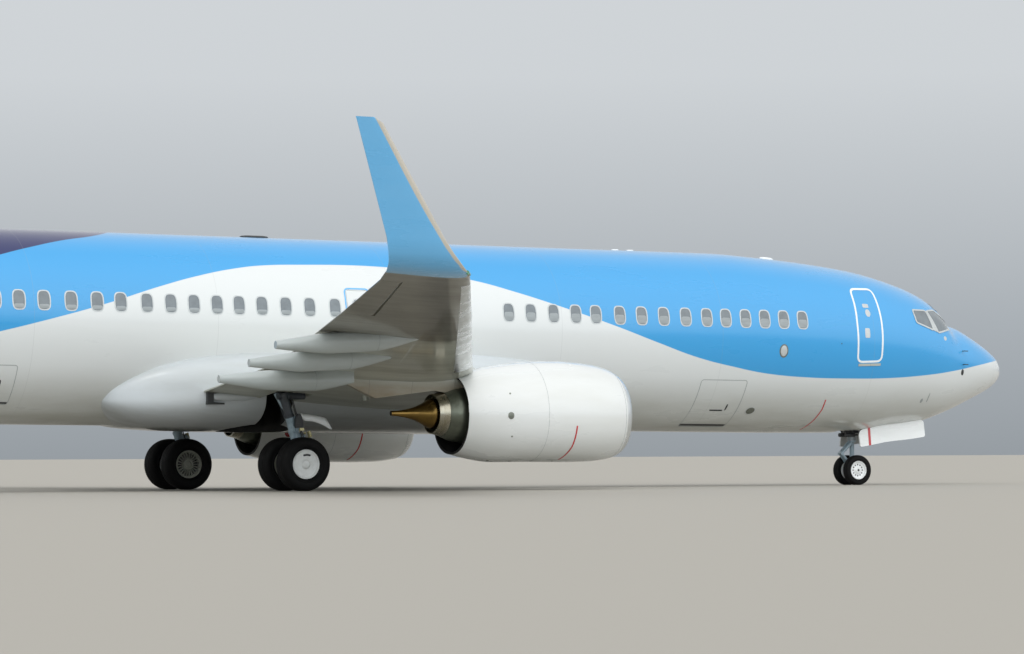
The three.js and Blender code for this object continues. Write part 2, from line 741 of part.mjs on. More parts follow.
function nacelleRing([aft, top, bottom, half], grow) {
  const middle = (top + bottom) / 2;
  return Array.from({ length: AROUND_ENGINE }, (_, k) => {
    const angle = ((k + 0.5) / AROUND_ENGINE) * 2 * Math.PI;
    const power = Math.sin(angle) < 0 ? 2.25 : 2;
    return at(
      aft,
      ENGINE_OUT + (half + grow) * squared(Math.cos(angle), power),
      middle + ((top - bottom) / 2 + grow) * squared(Math.sin(angle), power),
    );
  });
}

function ductRing([aft, radius, drop], grow) {
  return Array.from({ length: AROUND_ENGINE }, (_, k) => {
    const angle = ((k + 0.5) / AROUND_ENGINE) * 2 * Math.PI;
    return at(
      aft,
      ENGINE_OUT + (radius - grow) * Math.cos(angle),
      ENGINE_UP - drop + (radius - grow) * Math.sin(angle),
    );
  });
}

// A table's rows with its two ends moved apart by `grow`.
function lengthened(rows, grow) {
  const [first, last] = [Math.min(rows[0][0], rows.at(-1)[0]), Math.max(rows[0][0], rows.at(-1)[0])];
  return rows.map(([aft, ...rest]) => {
    const shift = aft === first ? -grow : aft === last ? grow : 0;
    return [aft + shift, ...rest];
  });
}

function nacelle(grow) {
  const outside = lengthened(NACELLE_OUTSIDE, grow).map((row) => nacelleRing(row, grow));
  const inside = lengthened(NACELLE_INSIDE, grow).map((row) => ductRing(row, grow));
  return loft([...outside, ...inside], true);
}

function core(grow) {
  const rows = lengthened(CORE, grow).map(([aft, radius]) => [aft, radius + grow]);
  const body = spun(rows, ENGINE_OUT, ENGINE_UP, AROUND_ENGINE);
  const vanes = Array.from({ length: VANES }, (_, k) => {
    const angle = (k / VANES) * 2 * Math.PI;
    const reach = (radius) => [ENGINE_OUT + radius * Math.cos(angle), ENGINE_UP + radius * Math.sin(angle)];
    const across = new THREE.Vector3(0, -Math.sin(angle), Math.cos(angle)).multiplyScalar(0.012 * M);
    return loft(
      [0.35, 0.9].map((radius) => {
        const [out, up] = reach(radius);
        return [
          at(14.72, out, up),
          at(14.82, out, up).add(across),
          at(14.96, out, up),
          at(14.82, out, up).sub(across),
        ];
      }),
    );
  });
  return join(body, ...vanes);
}

// One fan blade, from inside the spinner to its tip, twisted along its length.
function blade(index) {
  const angle = (index / FAN_BLADES) * 2 * Math.PI;
  // [radius, half chord, stagger in degrees, half thickness]
  const rows = [
    [0.2, 0.07, 30, 0.012],
    [0.48, 0.1, 48, 0.008],
    [FAN_RADIUS, 0.115, 60, 0.004],
  ];
  const radial = new THREE.Vector3(0, Math.cos(angle), Math.sin(angle));
  const around = new THREE.Vector3(0, -Math.sin(angle), Math.cos(angle));
  const hub = at(14.16, ENGINE_OUT, ENGINE_UP);
  return loft(
    rows.map(([radius, half, stagger, thick]) => {
      const turn = THREE.MathUtils.degToRad(stagger);
      const along = new THREE.Vector3(Math.cos(turn), 0, 0).addScaledVector(around, Math.sin(turn));
      const normal = new THREE.Vector3(-Math.sin(turn), 0, 0).addScaledVector(around, Math.cos(turn));
      const middle = hub.clone().addScaledVector(radial, radius * M);
      return [
        middle.clone().addScaledVector(along, half * M),
        middle.clone().addScaledVector(normal, thick * M),
        middle.clone().addScaledVector(along, -half * M),
        middle.clone().addScaledVector(normal, -thick * M),
      ];
    }),
    false,
    true,
  );
}

function makeEngine() {
  const shell = nacelle(0);
  const grownShell = nacelle(SEAT);
  pair("nacelle", shell, "white");
  const keepIn = spun([[14, 0.95], [15.6, 0.95]], ENGINE_OUT, ENGINE_UP, AROUND_ENGINE);
  const bore = spun([[14.02, 0.9], [17.5, 0.9]], ENGINE_OUT, ENGINE_UP, AROUND_ENGINE);
  pair("engine_core", cut(core(0), grownShell, cut(keepIn, bore)), "core");
  const nozzle = NOZZLE.map(([aft, radius]) => [aft + SEAT, radius]);
  pair("exhaust_nozzle", spun(nozzle, ENGINE_OUT, ENGINE_UP, AROUND_ENGINE, true), "metal");
  const plug = PLUG.map(([aft, radius]) => [aft + SEAT, radius]);
  pair("exhaust_plug", spun(plug, ENGINE_OUT, ENGINE_UP, 24), "bronze");
  const spinner = [...SPINNER, [CORE[0][0] - SEAT, 0.2]];
  const blades = Array.from({ length: FAN_BLADES }, (_, k) => blade(k));
  const fan = pair("fan", join(spun(spinner, ENGINE_OUT, ENGINE_UP, 24), ...blades), "fan");
  pivotPair("fan_axis", at(14.42, ENGINE_OUT, ENGINE_UP), at(14, ENGINE_OUT, ENGINE_UP), fan);
  const pylon = loft(
    PYLON.map(([aft, top, bottom, half]) =>
      [[1, 0.3], [1, 0.8], [0.55, 1], [-0.55, 1], [-1, 0.8], [-1, 0.3], [-0.7, 0], [0.7, 0]].map(([side, share]) =>
        at(aft, ENGINE_OUT + side * half, bottom + (top - bottom) * share),
      ),
    ),
  );
  const nozzleRoom = spun([[17.3, 0.46], [17.6, 0.42]], ENGINE_OUT, ENGINE_UP, AROUND_ENGINE);
  pair("pylon", cut(pylon, nacelle(2 * SEAT), core(2 * SEAT), nozzleRoom, innerWing(2 * SEAT)), "grey");
}
makeEngine();

// Landing gear. Each leg is made over its own point of the ground, x forward, and stands upright there.

const groundUnder = (aft) => (MAIN_GEAR - aft) * Math.tan(NOSE_DOWN);

function upright(aft, out) {
  const turned = new THREE.Matrix4().makeRotationY(-NOSE_DOWN);
  return new THREE.Matrix4().setPosition(at(aft, out, groundUnder(aft))).multiply(turned);
}

const stood = (body, place) => body.transform(place.elements);

// A bar of a leg, between two points [forward, out, up].
function strut(from, to, radius, endRadius, sides) {
  const local = ([forward, out, up]) => [MAIN_GEAR - forward, out, up];
  return bar(local(from), local(to), radius, endRadius, sides);
}

// Everything above a height, to trim a leg to the roof of its bay.
const above = (up) => box([0, -5, up], [30, 5, up + 2]);

// Lathe about the left-right axis, from a profile of [radius, out]; a flat of the polygon lies underneath.
function wheelLathe(profile, sides, up, out) {
  const geometry = new THREE.LatheGeometry(
    profile.map(([radius, side]) => new THREE.Vector2(radius * M, side * M)),
    sides,
    Math.PI / sides,
  );
  geometry.translate(0, out * M, up * M);
  return solid(geometry);
}

const axleHeight = (tyre) => tyre.radius * Math.cos(Math.PI / tyre.sides);

function tyreBody(tyre, out) {
  const w = tyre.width / 2;
  const { radius: r, rim } = tyre;
  const profile = [
    [rim + SEAT, -w * 0.72],
    [rim + (r - rim) * 0.5, -w],
    [r, -w * 0.6],
    [r, w * 0.6],
    [rim + (r - rim) * 0.5, w],
    [rim + SEAT, w * 0.72],
    [rim + SEAT, -w * 0.72],
  ];
  return wheelLathe(profile, tyre.sides, axleHeight(tyre), out);
}

// Two wheel discs on one axle, dished on the outside, with a waist that turns in the leg's bore.
function hubBody(tyre, reach, axle) {
  const w = tyre.width / 2;
  const { rim } = tyre;
  const outer = reach + w * 0.72;
  const inner = reach - w * 0.72;
  const half = [
    [axle, inner + 0.02],
    [rim * 0.6, inner + 0.02],
    [rim, inner],
    [rim, outer],
    [rim * 0.86, outer],
    [rim * 0.76, outer - 0.035],
    [rim * 0.3, outer],
    [0, outer],
  ];
  const profile = [...half.map(([r, s]) => [r, -s]).reverse(), ...half];
  return wheelLathe(profile, tyre.sides, axleHeight(tyre), 0);
}

// A bore through a leg, round enough that the axle turns in it.
function axleBore(radius, up, sides) {
  const profile = [[0, -1], [radius, -1], [radius, 1], [0, 1]];
  return wheelLathe(profile, sides, up, 0);
}

function wheelSet(name, tyre, reach, axle, place, sides, hinge) {
  const meshes = [node(name + "_hubs", stood(hubBody(tyre, reach, axle), place), "hub")];
  for (const [label, side] of sides)
    meshes.push(node(`${name}_tyre_${label}`, stood(tyreBody(tyre, side * reach), place), "rubber"));
  const up = axleHeight(tyre) * M;
  const from = new THREE.Vector3(0, 0, up).applyMatrix4(place);
  const to = new THREE.Vector3(0, M, up).applyMatrix4(place);
  pivot(hinge, from, to, ...meshes);
}

const MAIN_AXLE = 0.05;
const NOSE_AXLE = 0.035;
const boreOf = (axle, sides) => axle / Math.cos(Math.PI / sides) + SEAT;

const RAKE = 0.1976; // of a main leg: how far it leans aft for each metre up
const LEG_FOOT = 0.05; // how far ahead of the axle its foot stands
const LEG_DOOR = { inner: 0.17, outer: 0.2 }; // how far outboard of the leg's middle its door lies

// A point on a main leg's own middle line.
const onLeg = (up) => [LEG_FOOT - RAKE * (up - axleHeight(MAIN_TYRE)), 0, up];

// A main leg, with the bracket of its door; `side` is 1 on the left.
function mainLeg(side) {
  const up = axleHeight(MAIN_TYRE);
  const top = WELL.slotTop;
  const inward = -side;
  const body = join(
    strut(onLeg(1.2), onLeg(top + 0.1), 0.12, 0.13, 12),
    strut(onLeg(up), onLeg(1.22), 0.085, 0.085, 10),
    strut([0, -0.19, up], [0, 0.19, up], 0.125, 0.125, 12),
    strut([-0.38, 0, top - 0.1], [0.25, 0, top - 0.1], 0.08, 0.08, 8),
    strut([-0.06, 0, 1.28], [-0.07, inward * 0.7, top + 0.02], 0.05, 0.05, 8),
    strut([-0.2, 0, 1.26], [-0.42, 0, 0.93], 0.035, 0.03, 5),
    strut([-0.42, 0, 0.93], [-0.06, 0, up + 0.04], 0.03, 0.035, 5),
    strut([-0.14, 0, 1.5], [0.1, side * 0.06, 1.5], 0.04, 0.04, 8),
    strut([0.1, side * 0.03, 1.5], [0.1, side * (LEG_DOOR.inner - SEAT), 1.5], 0.05, 0.05, 8),
  );
  return cut(body, axleBore(boreOf(MAIN_AXLE, MAIN_TYRE.sides), up, MAIN_TYRE.sides));
}

// The door that the leg carries outboard: [forward, bottom, top] along it.
function legDoor(side) {
  const rows = [
    [0.03, 1.4, 1.59],
    [0.13, 1.411, 1.572],
    [0.31, 1.412, 1.54],
    [0.54, 1.333, 1.505],
    [0.665, 1.29, 1.484],
    [0.76, 1.258, 1.29],
  ];
  return loft(
    rows.map(([forward, bottom, top]) => {
      const point = (out, height) => new THREE.Vector3(forward * M, side * out * M, height * M);
      const { inner, outer } = LEG_DOOR;
      return [point(inner, top), point(outer, top), point(outer, bottom), point(inner, bottom)];
    }),
  );
}

for (const [label, side] of [["left", 1], ["right", -1]]) {
  const place = upright(MAIN_GEAR, side * GEAR_TRACK);
  const leg = cut(stood(mainLeg(side), place), above(WELL.slotTop - SEAT));
  node("main_leg_" + label, leg, "strut");
  node("main_leg_door_" + label, stood(legDoor(side), place), "white");
  const ends = [["outer", side], ["inner", -side]];
  wheelSet("main_" + label, MAIN_TYRE, MAIN_WHEEL_OUT, MAIN_AXLE, place, ends, "main_axle_" + label);
}

const NOSE_COLLAR = 1.02; // the height where the steered part of the nose leg begins

function noseGear() {
  const place = upright(NOSE_GEAR, 0);
  const up = axleHeight(NOSE_TYRE);
  const ceiling = NOSE_WELL.top - groundUnder(NOSE_GEAR);
  const leg = join(
    strut([0, 0, NOSE_COLLAR + SEAT], [0, 0, ceiling + 0.05], 0.085, 0.095, 14),
    strut([0, -0.3, ceiling - 0.12], [0, 0.3, ceiling - 0.12], 0.05, 0.05, 10),
    strut([0, 0, 1.25], [0.85, 0, ceiling - 0.02], 0.045, 0.045, 8),
    strut([0, 0, NOSE_COLLAR + SEAT], [0, 0, NOSE_COLLAR + 0.12], 0.12, 0.12, 14),
  );
  node("nose_leg", cut(stood(leg, place), above(NOSE_WELL.top - SEAT)), "strut");
  const fork = join(
    strut([0, 0, up], [0, 0, NOSE_COLLAR], 0.06, 0.06, 12),
    strut([0, 0, NOSE_COLLAR - 0.07], [0, 0, NOSE_COLLAR], 0.1, 0.1, 12),
    strut([0, -0.1, up], [0, 0.1, up], 0.07, 0.07, 12),
    strut([-0.05, 0, NOSE_COLLAR - 0.04], [-0.3, 0, 0.72], 0.03, 0.025, 6),
    strut([-0.3, 0, 0.72], [-0.04, 0, up + 0.04], 0.025, 0.03, 6),
    strut([0, 0, up + 0.12], [0.12, 0, up + 0.12], 0.04, 0.04, 8),
  );
  const boredFork = cut(fork, axleBore(boreOf(NOSE_AXLE, NOSE_TYRE.sides), up, NOSE_TYRE.sides));
  const forkMesh = node("nose_fork", stood(boredFork, place), "strut");
  const from = new THREE.Vector3(0, 0, up * M).applyMatrix4(place);
  const to = new THREE.Vector3(0, 0, NOSE_COLLAR * M).applyMatrix4(place);
  pivot("nose_steering", from, to, forkMesh);
  wheelSet("nose", NOSE_TYRE, NOSE_WHEEL_OUT, NOSE_AXLE, place, [["left", 1], ["right", -1]], "nose_axle");
}
noseGear();

// The nose leg's doors hang from the long edges of its bay.
function noseDoors() {
  const rows = [0, 0.5, 1].map((share) => NOSE_DOOR.from + (NOSE_DOOR.to - NOSE_DOOR.from) * share);
  const rings = rows.map((aft) => {
    const [, , keel, half, widest] = rowAt(FUSELAGE, aft);
    const inner = NOSE_WELL.half + NOSE_DOOR.open;
    const edge = (out) => widest - (widest - keel) * Math.sqrt(1 - (out / half) ** 2) - SEAT;
    const low = keel - NOSE_DOOR.height;
    return [
      at(aft, inner, edge(inner)),
      at(aft, inner + NOSE_DOOR.thick, edge(inner + NOSE_DOOR.thick)),
      at(aft, inner + NOSE_DOOR.thick + 0.05, low),
      at(aft, inner + 0.05, low),
    ];
  });
  pair("nose_door", cut(loft(rings), fuselage(1.17, 7.02, 2 * SEAT)), "white");
}
noseDoors();

// The aircraft stands nose-down on its wheels, with the middle of its length at the origin.
aircraft.rotation.y = NOSE_DOWN;
aircraft.updateMatrixWorld(true);
const extent = new THREE.Box3().setFromObject(aircraft, true);
aircraft.position.x = -(extent.min.x + extent.max.x) / 2;
aircraft.position.z = -extent.min.z;

export default aircraft;
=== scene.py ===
"""Dresses a narrow-body twin-jet airliner, parked on its gear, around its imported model.

Lengths are in metres. Most pieces are drawn in level coordinates, in which the fuselage lies flat:
x forward of the main wheels, y to the left wing, z up from the ground under the main wheels. Tables
give places as metres aft of the nose datum instead. One matrix tips all of them nose-down.
"""

import json
import logging
import math
from collections.abc import Callable, Iterator
from contextlib import contextmanager
from dataclasses import dataclass, field
from enum import Enum

import bmesh
import bpy
from mathutils import Matrix, Vector

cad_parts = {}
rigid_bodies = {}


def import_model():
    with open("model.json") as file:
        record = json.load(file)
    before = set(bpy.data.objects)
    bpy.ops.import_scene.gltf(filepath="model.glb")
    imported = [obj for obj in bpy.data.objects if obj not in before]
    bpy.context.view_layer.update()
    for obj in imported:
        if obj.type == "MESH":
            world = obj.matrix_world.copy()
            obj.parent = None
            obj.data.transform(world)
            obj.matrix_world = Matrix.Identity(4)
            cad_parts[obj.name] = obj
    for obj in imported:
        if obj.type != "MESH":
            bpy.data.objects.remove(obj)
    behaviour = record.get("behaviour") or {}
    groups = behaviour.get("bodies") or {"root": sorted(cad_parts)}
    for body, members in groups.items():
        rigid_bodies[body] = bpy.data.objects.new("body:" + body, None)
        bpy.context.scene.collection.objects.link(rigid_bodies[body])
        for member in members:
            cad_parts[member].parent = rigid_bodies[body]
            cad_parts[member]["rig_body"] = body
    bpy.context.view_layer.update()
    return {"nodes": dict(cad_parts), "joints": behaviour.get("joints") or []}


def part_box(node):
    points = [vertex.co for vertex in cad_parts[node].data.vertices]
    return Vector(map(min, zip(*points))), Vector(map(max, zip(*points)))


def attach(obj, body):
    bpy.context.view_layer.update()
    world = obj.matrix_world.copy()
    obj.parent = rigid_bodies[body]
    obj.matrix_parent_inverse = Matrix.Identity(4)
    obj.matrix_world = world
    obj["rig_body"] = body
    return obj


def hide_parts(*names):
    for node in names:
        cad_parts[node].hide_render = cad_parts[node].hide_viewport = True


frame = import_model()

LOG = logging.getLogger("airliner")
Point = tuple[float, float, float]
Pair = tuple[float, float]
Pairs = tuple[Pair, ...]
Rows = tuple[tuple[float, ...], ...]
Shape = tuple[list[Vector], list[tuple[int, ...]]]  # points, and faces as places in them
Piece = bpy.types.Object
Tree = bpy.types.NodeTree
X_AXIS, Y_AXIS, Z_AXIS = Vector((1, 0, 0)), Vector((0, 1, 0)), Vector((0, 0, 1))
NOSE_DOWN = math.radians(0.6)
MAIN_GEAR = 19.71  # aft of the nose datum


class Side(Enum):
    """A side of the aircraft, with the sign of y there."""

    LEFT = 1
    RIGHT = -1

    @property
    def label(self) -> str:
        """The word that ends the names of this side's pieces."""
        return self.name.lower()


# Frame


def joint_place(name: str) -> Vector:
    """Gives a joint's position at rest, in the row frame."""
    return Vector(next(joint["pos_m"] for joint in frame["joints"] if joint["name"] == name))


def level_matrix() -> Matrix:
    """Works out the matrix that tips level coordinates into the row frame, from the main axle.

    Returns:
        The four by four matrix.
    """
    axle = joint_place("main_axle_left")
    tip = Matrix.Rotation(NOSE_DOWN, 4, "Y")
    forward = axle.x - axle.z * math.tan(NOSE_DOWN)
    return Matrix.Translation((forward, 0, 0)) @ tip


LEVEL = level_matrix()
SUNK = -0.01  # how far the edges of laid-on shapes reach under the skin


def level(aft: float, out: float, up: float) -> Vector:
    """Turns a table's place into level coordinates."""
    return Vector((MAIN_GEAR - aft, out, up))


# Curves through tables


def steady_slopes(xs: list[float], ys: list[float]) -> list[float]:
    """Finds the slopes of a smooth curve that never overshoots its points.

    Args:
        xs: Growing positions.
        ys: Values there.

    Returns:
        One slope a point.
    """
    steps = [(ys[i + 1] - ys[i]) / (xs[i + 1] - xs[i]) for i in range(len(xs) - 1)]
    slopes = [steps[0]]
    for before, after in zip(steps, steps[1:]):
        slopes.append(2 * before * after / (before + after) if before * after > 0 else 0.0)
    return [*slopes, steps[-1]]


@dataclass(frozen=True)
class SmoothTable:
    """Rows of numbers with a smooth curve through each column. The first column grows."""

    rows: Rows

    def at(self, x: float) -> tuple[float, ...]:
        """Reads every other column at a position.

        Args:
            x: The position, held between the first and the last row.

        Returns:
            The columns' values.
        """
        xs = [row[0] for row in self.rows]
        x = min(max(x, xs[0]), xs[-1])
        i = max(0, min(len(xs) - 2, sum(1 for v in xs if v <= x) - 1))
        wide = xs[i + 1] - xs[i]
        t = (x - xs[i]) / wide
        values = []
        for column in range(1, len(self.rows[0])):
            ys = [row[column] for row in self.rows]
            slopes = steady_slopes(xs, ys)
            values.append(
                ys[i] * (1 + 2 * t) * (1 - t) ** 2
                + slopes[i] * wide * t * (1 - t) ** 2
                + ys[i + 1] * t * t * (3 - 2 * t)
                - slopes[i + 1] * wide * t * t * (1 - t)
            )
        return tuple(values)


def spread(start: float, end: float, step: float) -> list[float]:
    """Lists even positions from start to end, no further apart than step."""
    count = max(1, math.ceil(abs(end - start) / step - 1e-6))
    return [start + (end - start) * i / count for i in range(count + 1)]


def circle(count: int, shift: float = 0.0) -> list[float]:
    """Lists even angles round a circle, which start a share of a step from 0."""
    return [2 * math.pi * (k + shift) / count for k in range(count)]


def bulged(turn: float, share: float) -> Pair:
    """Gives a superellipse's cosine and sine: each is raised to a power, and keeps its sign."""
    c, s = math.cos(turn), math.sin(turn)
    return math.copysign(abs(c) ** share, c), math.copysign(abs(s) ** share, s)


# Meshes


@contextmanager
def opened(mesh: bpy.types.Mesh) -> Iterator[bmesh.types.BMesh]:
    """Opens a mesh for editing and writes it back afterwards."""
    edited = bmesh.new()
    edited.from_mesh(mesh)
    yield edited
    edited.to_mesh(mesh)
    edited.free()


def linked(name: str, data: bpy.types.ID) -> Piece:
    """Makes an object and puts it into the scene."""
    made = bpy.data.objects.new(name, data)
    bpy.context.scene.collection.objects.link(made)
    return made


def shade(mesh: bpy.types.Mesh, sharp: float) -> None:
    """Points a mesh's faces outwards and keeps the edges sharp that turn by more than an angle.

    Args:
        mesh: The mesh.
        sharp: The angle in degrees.
    """
    with opened(mesh) as edited:
        bmesh.ops.recalc_face_normals(edited, faces=edited.faces)
        for face in edited.faces:
            face.smooth = True
        for edge in edited.edges:
            edge.smooth = len(edge.link_faces) == 2 and edge.calc_face_angle(0) < math.radians(sharp)


def add_piece(
    name: str,
    shapes: list[Shape],
    finish: "Finish",
    body: str = "airframe",
    sharp: float = 35.0,
    matrix: Matrix | None = None,
    mesh: bpy.types.Mesh | None = None,
) -> Piece:
    """Makes one mesh object, shades it smooth up to an angle and hangs it on a body.

    Args:
        name: The piece's name.
        shapes: What it is made of, in level coordinates unless a matrix is given.
        finish: Its finish.
        body: The body that it rides on.
        sharp: Edges turned by more than this many degrees stay sharp.
        matrix: From the vertices to the row frame; the level matrix when left out.
        mesh: A mesh to use instead of shapes.

    Returns:
        The object.
    """
    if mesh is None:
        mesh = bpy.data.meshes.new(name)
        points, faces = merged(shapes)
        mesh.from_pydata(points, [], faces)
    shade(mesh, sharp)
    piece = linked(name, mesh)
    piece.matrix_world = LEVEL if matrix is None else matrix
    mesh.materials.clear()
    mesh.materials.append(finish.made())
    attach(piece, body)
    LOG.info("%s: %d faces on %s", name, len(mesh.polygons), body)
    return piece


def paint_part(piece: Piece, finish: "Finish", test: Callable[[Vector], bool]) -> None:
    """Gives some of a piece's faces a second finish.

    Args:
        piece: The piece.
        finish: The finish.
        test: Says yes to a face's middle, in the piece's own coordinates.
    """
    piece.data.materials.append(finish.made())
    place = len(piece.data.materials) - 1
    for face in piece.data.polygons:
        if test(face.center):
            face.material_index = place


def skin(rings: list[list[Vector]], closed: bool = False, capped: bool = True) -> Shape:
    """Joins equal rings of points with quads.

    Args:
        rings: Rings of equal length, each closed on itself.
        closed: Whether the last ring joins the first.
        capped: Whether the end rings are filled.

    Returns:
        The shape.
    """
    count = len(rings[0])
    points = [point for ring in rings for point in ring]
    faces: list[tuple[int, ...]] = []
    for i in range(len(rings) if closed else len(rings) - 1):
        a, b = i * count, (i + 1) % len(rings) * count
        faces += [(a + k, a + (k + 1) % count, b + (k + 1) % count, b + k) for k in range(count)]
    if capped and not closed:
        faces += [tuple(range(count)), tuple(len(points) - 1 - k for k in range(count))]
    return points, faces


def sheet(outline: Pairs, laid: Callable[[Vector], Vector]) -> Shape:
    """Makes an open sheet of 8 by 8 quads between four corners.

    Args:
        outline: The corners in order, on the flat.
        laid: Gives the point in space for a place on the flat.

    Returns:
        The shape.
    """
    a, b, c, d = (Vector(corner) for corner in outline)
    steps = [k / 8 for k in range(9)]
    points = [laid(a.lerp(b, t).lerp(d.lerp(c, t), s)) for s in steps for t in steps]
    starts = [9 * i + k for i in range(8) for k in range(8)]
    return points, [(n, n + 1, n + 10, n + 9) for n in starts]


def merged(parts: list[Shape]) -> Shape:
    """Puts several shapes into one."""
    points: list[Vector] = []
    faces: list[tuple[int, ...]] = []
    for some_points, some_faces in parts:
        base = len(points)
        points += some_points
        faces += [tuple(base + k for k in face) for face in some_faces]
    return points, faces


def square_axes(direction: Vector) -> tuple[Vector, Vector]:
    """Finds two unit vectors square to a direction and to each other."""
    helper = Z_AXIS if abs(direction.normalized().z) < 0.9 else X_AXIS
    first = direction.cross(helper).normalized()
    return first, direction.cross(first).normalized()


def rod(path: list[Vector], radii: list[float] | float, around: int = 14) -> Shape:
    """Makes a round rod along a path.

    Args:
        path: Its centreline.
        radii: Its radius, or one radius a point.
        around: Facets round it.

    Returns:
        The shape.
    """
    if not isinstance(radii, list):
        radii = [radii] * len(path)
    rings = []
    first = None
    for i, (point, radius) in enumerate(zip(path, radii)):
        along = (path[min(i + 1, len(path) - 1)] - path[max(i - 1, 0)]).normalized()
        if first is None:
            first, _ = square_axes(along)
        first = (first - along * first.dot(along)).normalized()
        second = along.cross(first)
        rings.append([point + (first * math.cos(a) + second * math.sin(a)) * radius for a in circle(around)])
    return skin(rings)


def turned(
    profile: list[Pair], start: Vector, axis: Vector, around: int, closed: bool = False
) -> Shape:
    """Turns a profile about an axis.

    Args:
        profile: Pairs of distance along the axis and radius.
        start: The point of the axis that distances count from.
        axis: The unit vector along the axis.
        around: Facets round it.
        closed: Whether the profile closes on itself, as a ring's does.

    Returns:
        The shape.
    """
    first, second = square_axes(axis)
    rings = [
        [start + axis * away + (first * math.cos(a) + second * math.sin(a)) * radius for a in circle(around)]
        for away, radius in profile
    ]
    return skin(rings, closed=closed)


def bar(radii: list[float] | float, *places: Point, around: int = 14) -> Shape:
    """Makes a rod through places that are given as numbers."""
    return rod([Vector(place) for place in places], radii, around)


def slab(low: Point | Vector, high: Point | Vector) -> Shape:
    """Makes a box between two corners."""
    ring = [(low[0], low[1]), (high[0], low[1]), (high[0], high[1]), (low[0], high[1])]
    return skin([[Vector((x, y, z)) for x, y in ring] for z in (low[2], high[2])])


def cut_away(piece: Piece, tools: list[Shape]) -> None:
    """Cuts closed shapes out of a piece and leaves shadowed primer on the cut faces.

    Args:
        piece: The piece, whose mesh is replaced by the cut one.
        tools: The shapes, in the piece's own coordinates.
    """
    for points, faces in tools:
        mesh = bpy.data.meshes.new("tool")
        mesh.from_pydata(points, [], faces)
        with opened(mesh) as edited:
            bmesh.ops.recalc_face_normals(edited, faces=edited.faces)
        mesh.materials.append(BAY_SHADE.made())
        tool = linked("tool", mesh)
        tool.matrix_world = piece.matrix_world
        bpy.context.view_layer.update()
        cut = piece.modifiers.new("cut", "BOOLEAN")
        cut.operation, cut.solver, cut.object, cut.material_mode = "DIFFERENCE", "EXACT", tool, "TRANSFER"
        ready = piece.evaluated_get(bpy.context.evaluated_depsgraph_get())
        done = bpy.data.meshes.new_from_object(ready)
        piece.modifiers.clear()
        old, piece.data = piece.data, done
        bpy.data.meshes.remove(old)
        bpy.data.objects.remove(tool)
    if tools:
        shade(piece.data, 35)


def dressed_copy(node: str, finish: "Finish") -> Piece:
    """Stands a smooth-shaded copy, in level coordinates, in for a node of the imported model.

    Args:
        node: The node.
        finish: Its finish.

    Returns:
        The copy.
    """
    source = frame["nodes"][node]
    mesh = source.data.copy()
    mesh.transform(LEVEL.inverted())
    with opened(mesh) as edited:
        bmesh.ops.remove_doubles(edited, verts=edited.verts, dist=2e-5)
    for layer in list(mesh.attributes):
        if layer.name == "custom_normal":
            mesh.attributes.remove(layer)
    piece = add_piece(f"{node}_skin", [], finish, source["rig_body"], 32, mesh=mesh)
    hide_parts(node)
    return piece


# Shader nodes


def linear(colour: str) -> tuple[float, float, float, float]:
    """Turns an sRGB hex colour into linear red, green, blue and alpha."""
    parts = [int(colour[i : i + 2], 16) / 255 for i in (1, 3, 5)]
    values = [c / 12.92 if c <= 0.04045 else ((c + 0.055) / 1.055) ** 2.4 for c in parts]
    return (*values, 1.0)


def add_node(tree: Tree, kind: str, inputs: dict | tuple = (), **settings) -> bpy.types.Node:
    """Adds one shader node with its settings and links.

    Args:
        tree: The node tree.
        kind: The node's type, without the ShaderNode that they all start with.
        inputs: Its inputs in order, or by name or place. Each is a value, a socket or a node, which
            stands for its first output.
        **settings: Its own settings.

    Returns:
        The node.
    """
    made = tree.nodes.new(f"ShaderNode{kind}")
    for name, value in settings.items():
        setattr(made, name, value)
    for socket, value in inputs.items() if isinstance(inputs, dict) else enumerate(inputs):
        if isinstance(value, bpy.types.Node):
            value = value.outputs[0]
        if isinstance(value, bpy.types.NodeSocket):
            tree.links.new(value, made.inputs[socket])
        else:
            made.inputs[socket].default_value = value
    return made


def step_up(tree: Tree, value, edge, soft: float) -> bpy.types.Node:
    """Gives 0 below an edge and 1 above it, over a soft width."""
    away = add_node(tree, "Math", (value, edge), operation="SUBTRACT")
    return add_node(tree, "MapRange", (away, -soft / 2, soft / 2))


def laid_over(tree: Tree, share, below, above: str) -> bpy.types.NodeSocket:
    """Lays a hex colour over the colour below it by a share."""
    return add_node(tree, "Mix", {0: share, 6: below, 7: linear(above)}, data_type="RGBA").outputs[2]


def curve_through(tree: Tree, points: Pairs, x, longest: float = 40.0) -> bpy.types.Node:
    """Reads a smooth curve through points given in metres.

    Args:
        tree: The node tree.
        points: Pairs of position and value.
        x: The position.
        longest: The greatest position.

    Returns:
        The node with the value.
    """
    highest = 6.0
    share = add_node(tree, "Math", (x, longest), operation="DIVIDE")
    made = add_node(tree, "FloatCurve", {"Value": share})
    curve = made.mapping.curves[0]
    while len(curve.points) < len(points):
        curve.points.new(0.5, 0.5)
    for knot, (along, value) in zip(curve.points, points):
        knot.location = (along / longest, value / highest)
        knot.handle_type = "AUTO"
    made.mapping.update()
    return add_node(tree, "Math", (made, highest), operation="MULTIPLY")


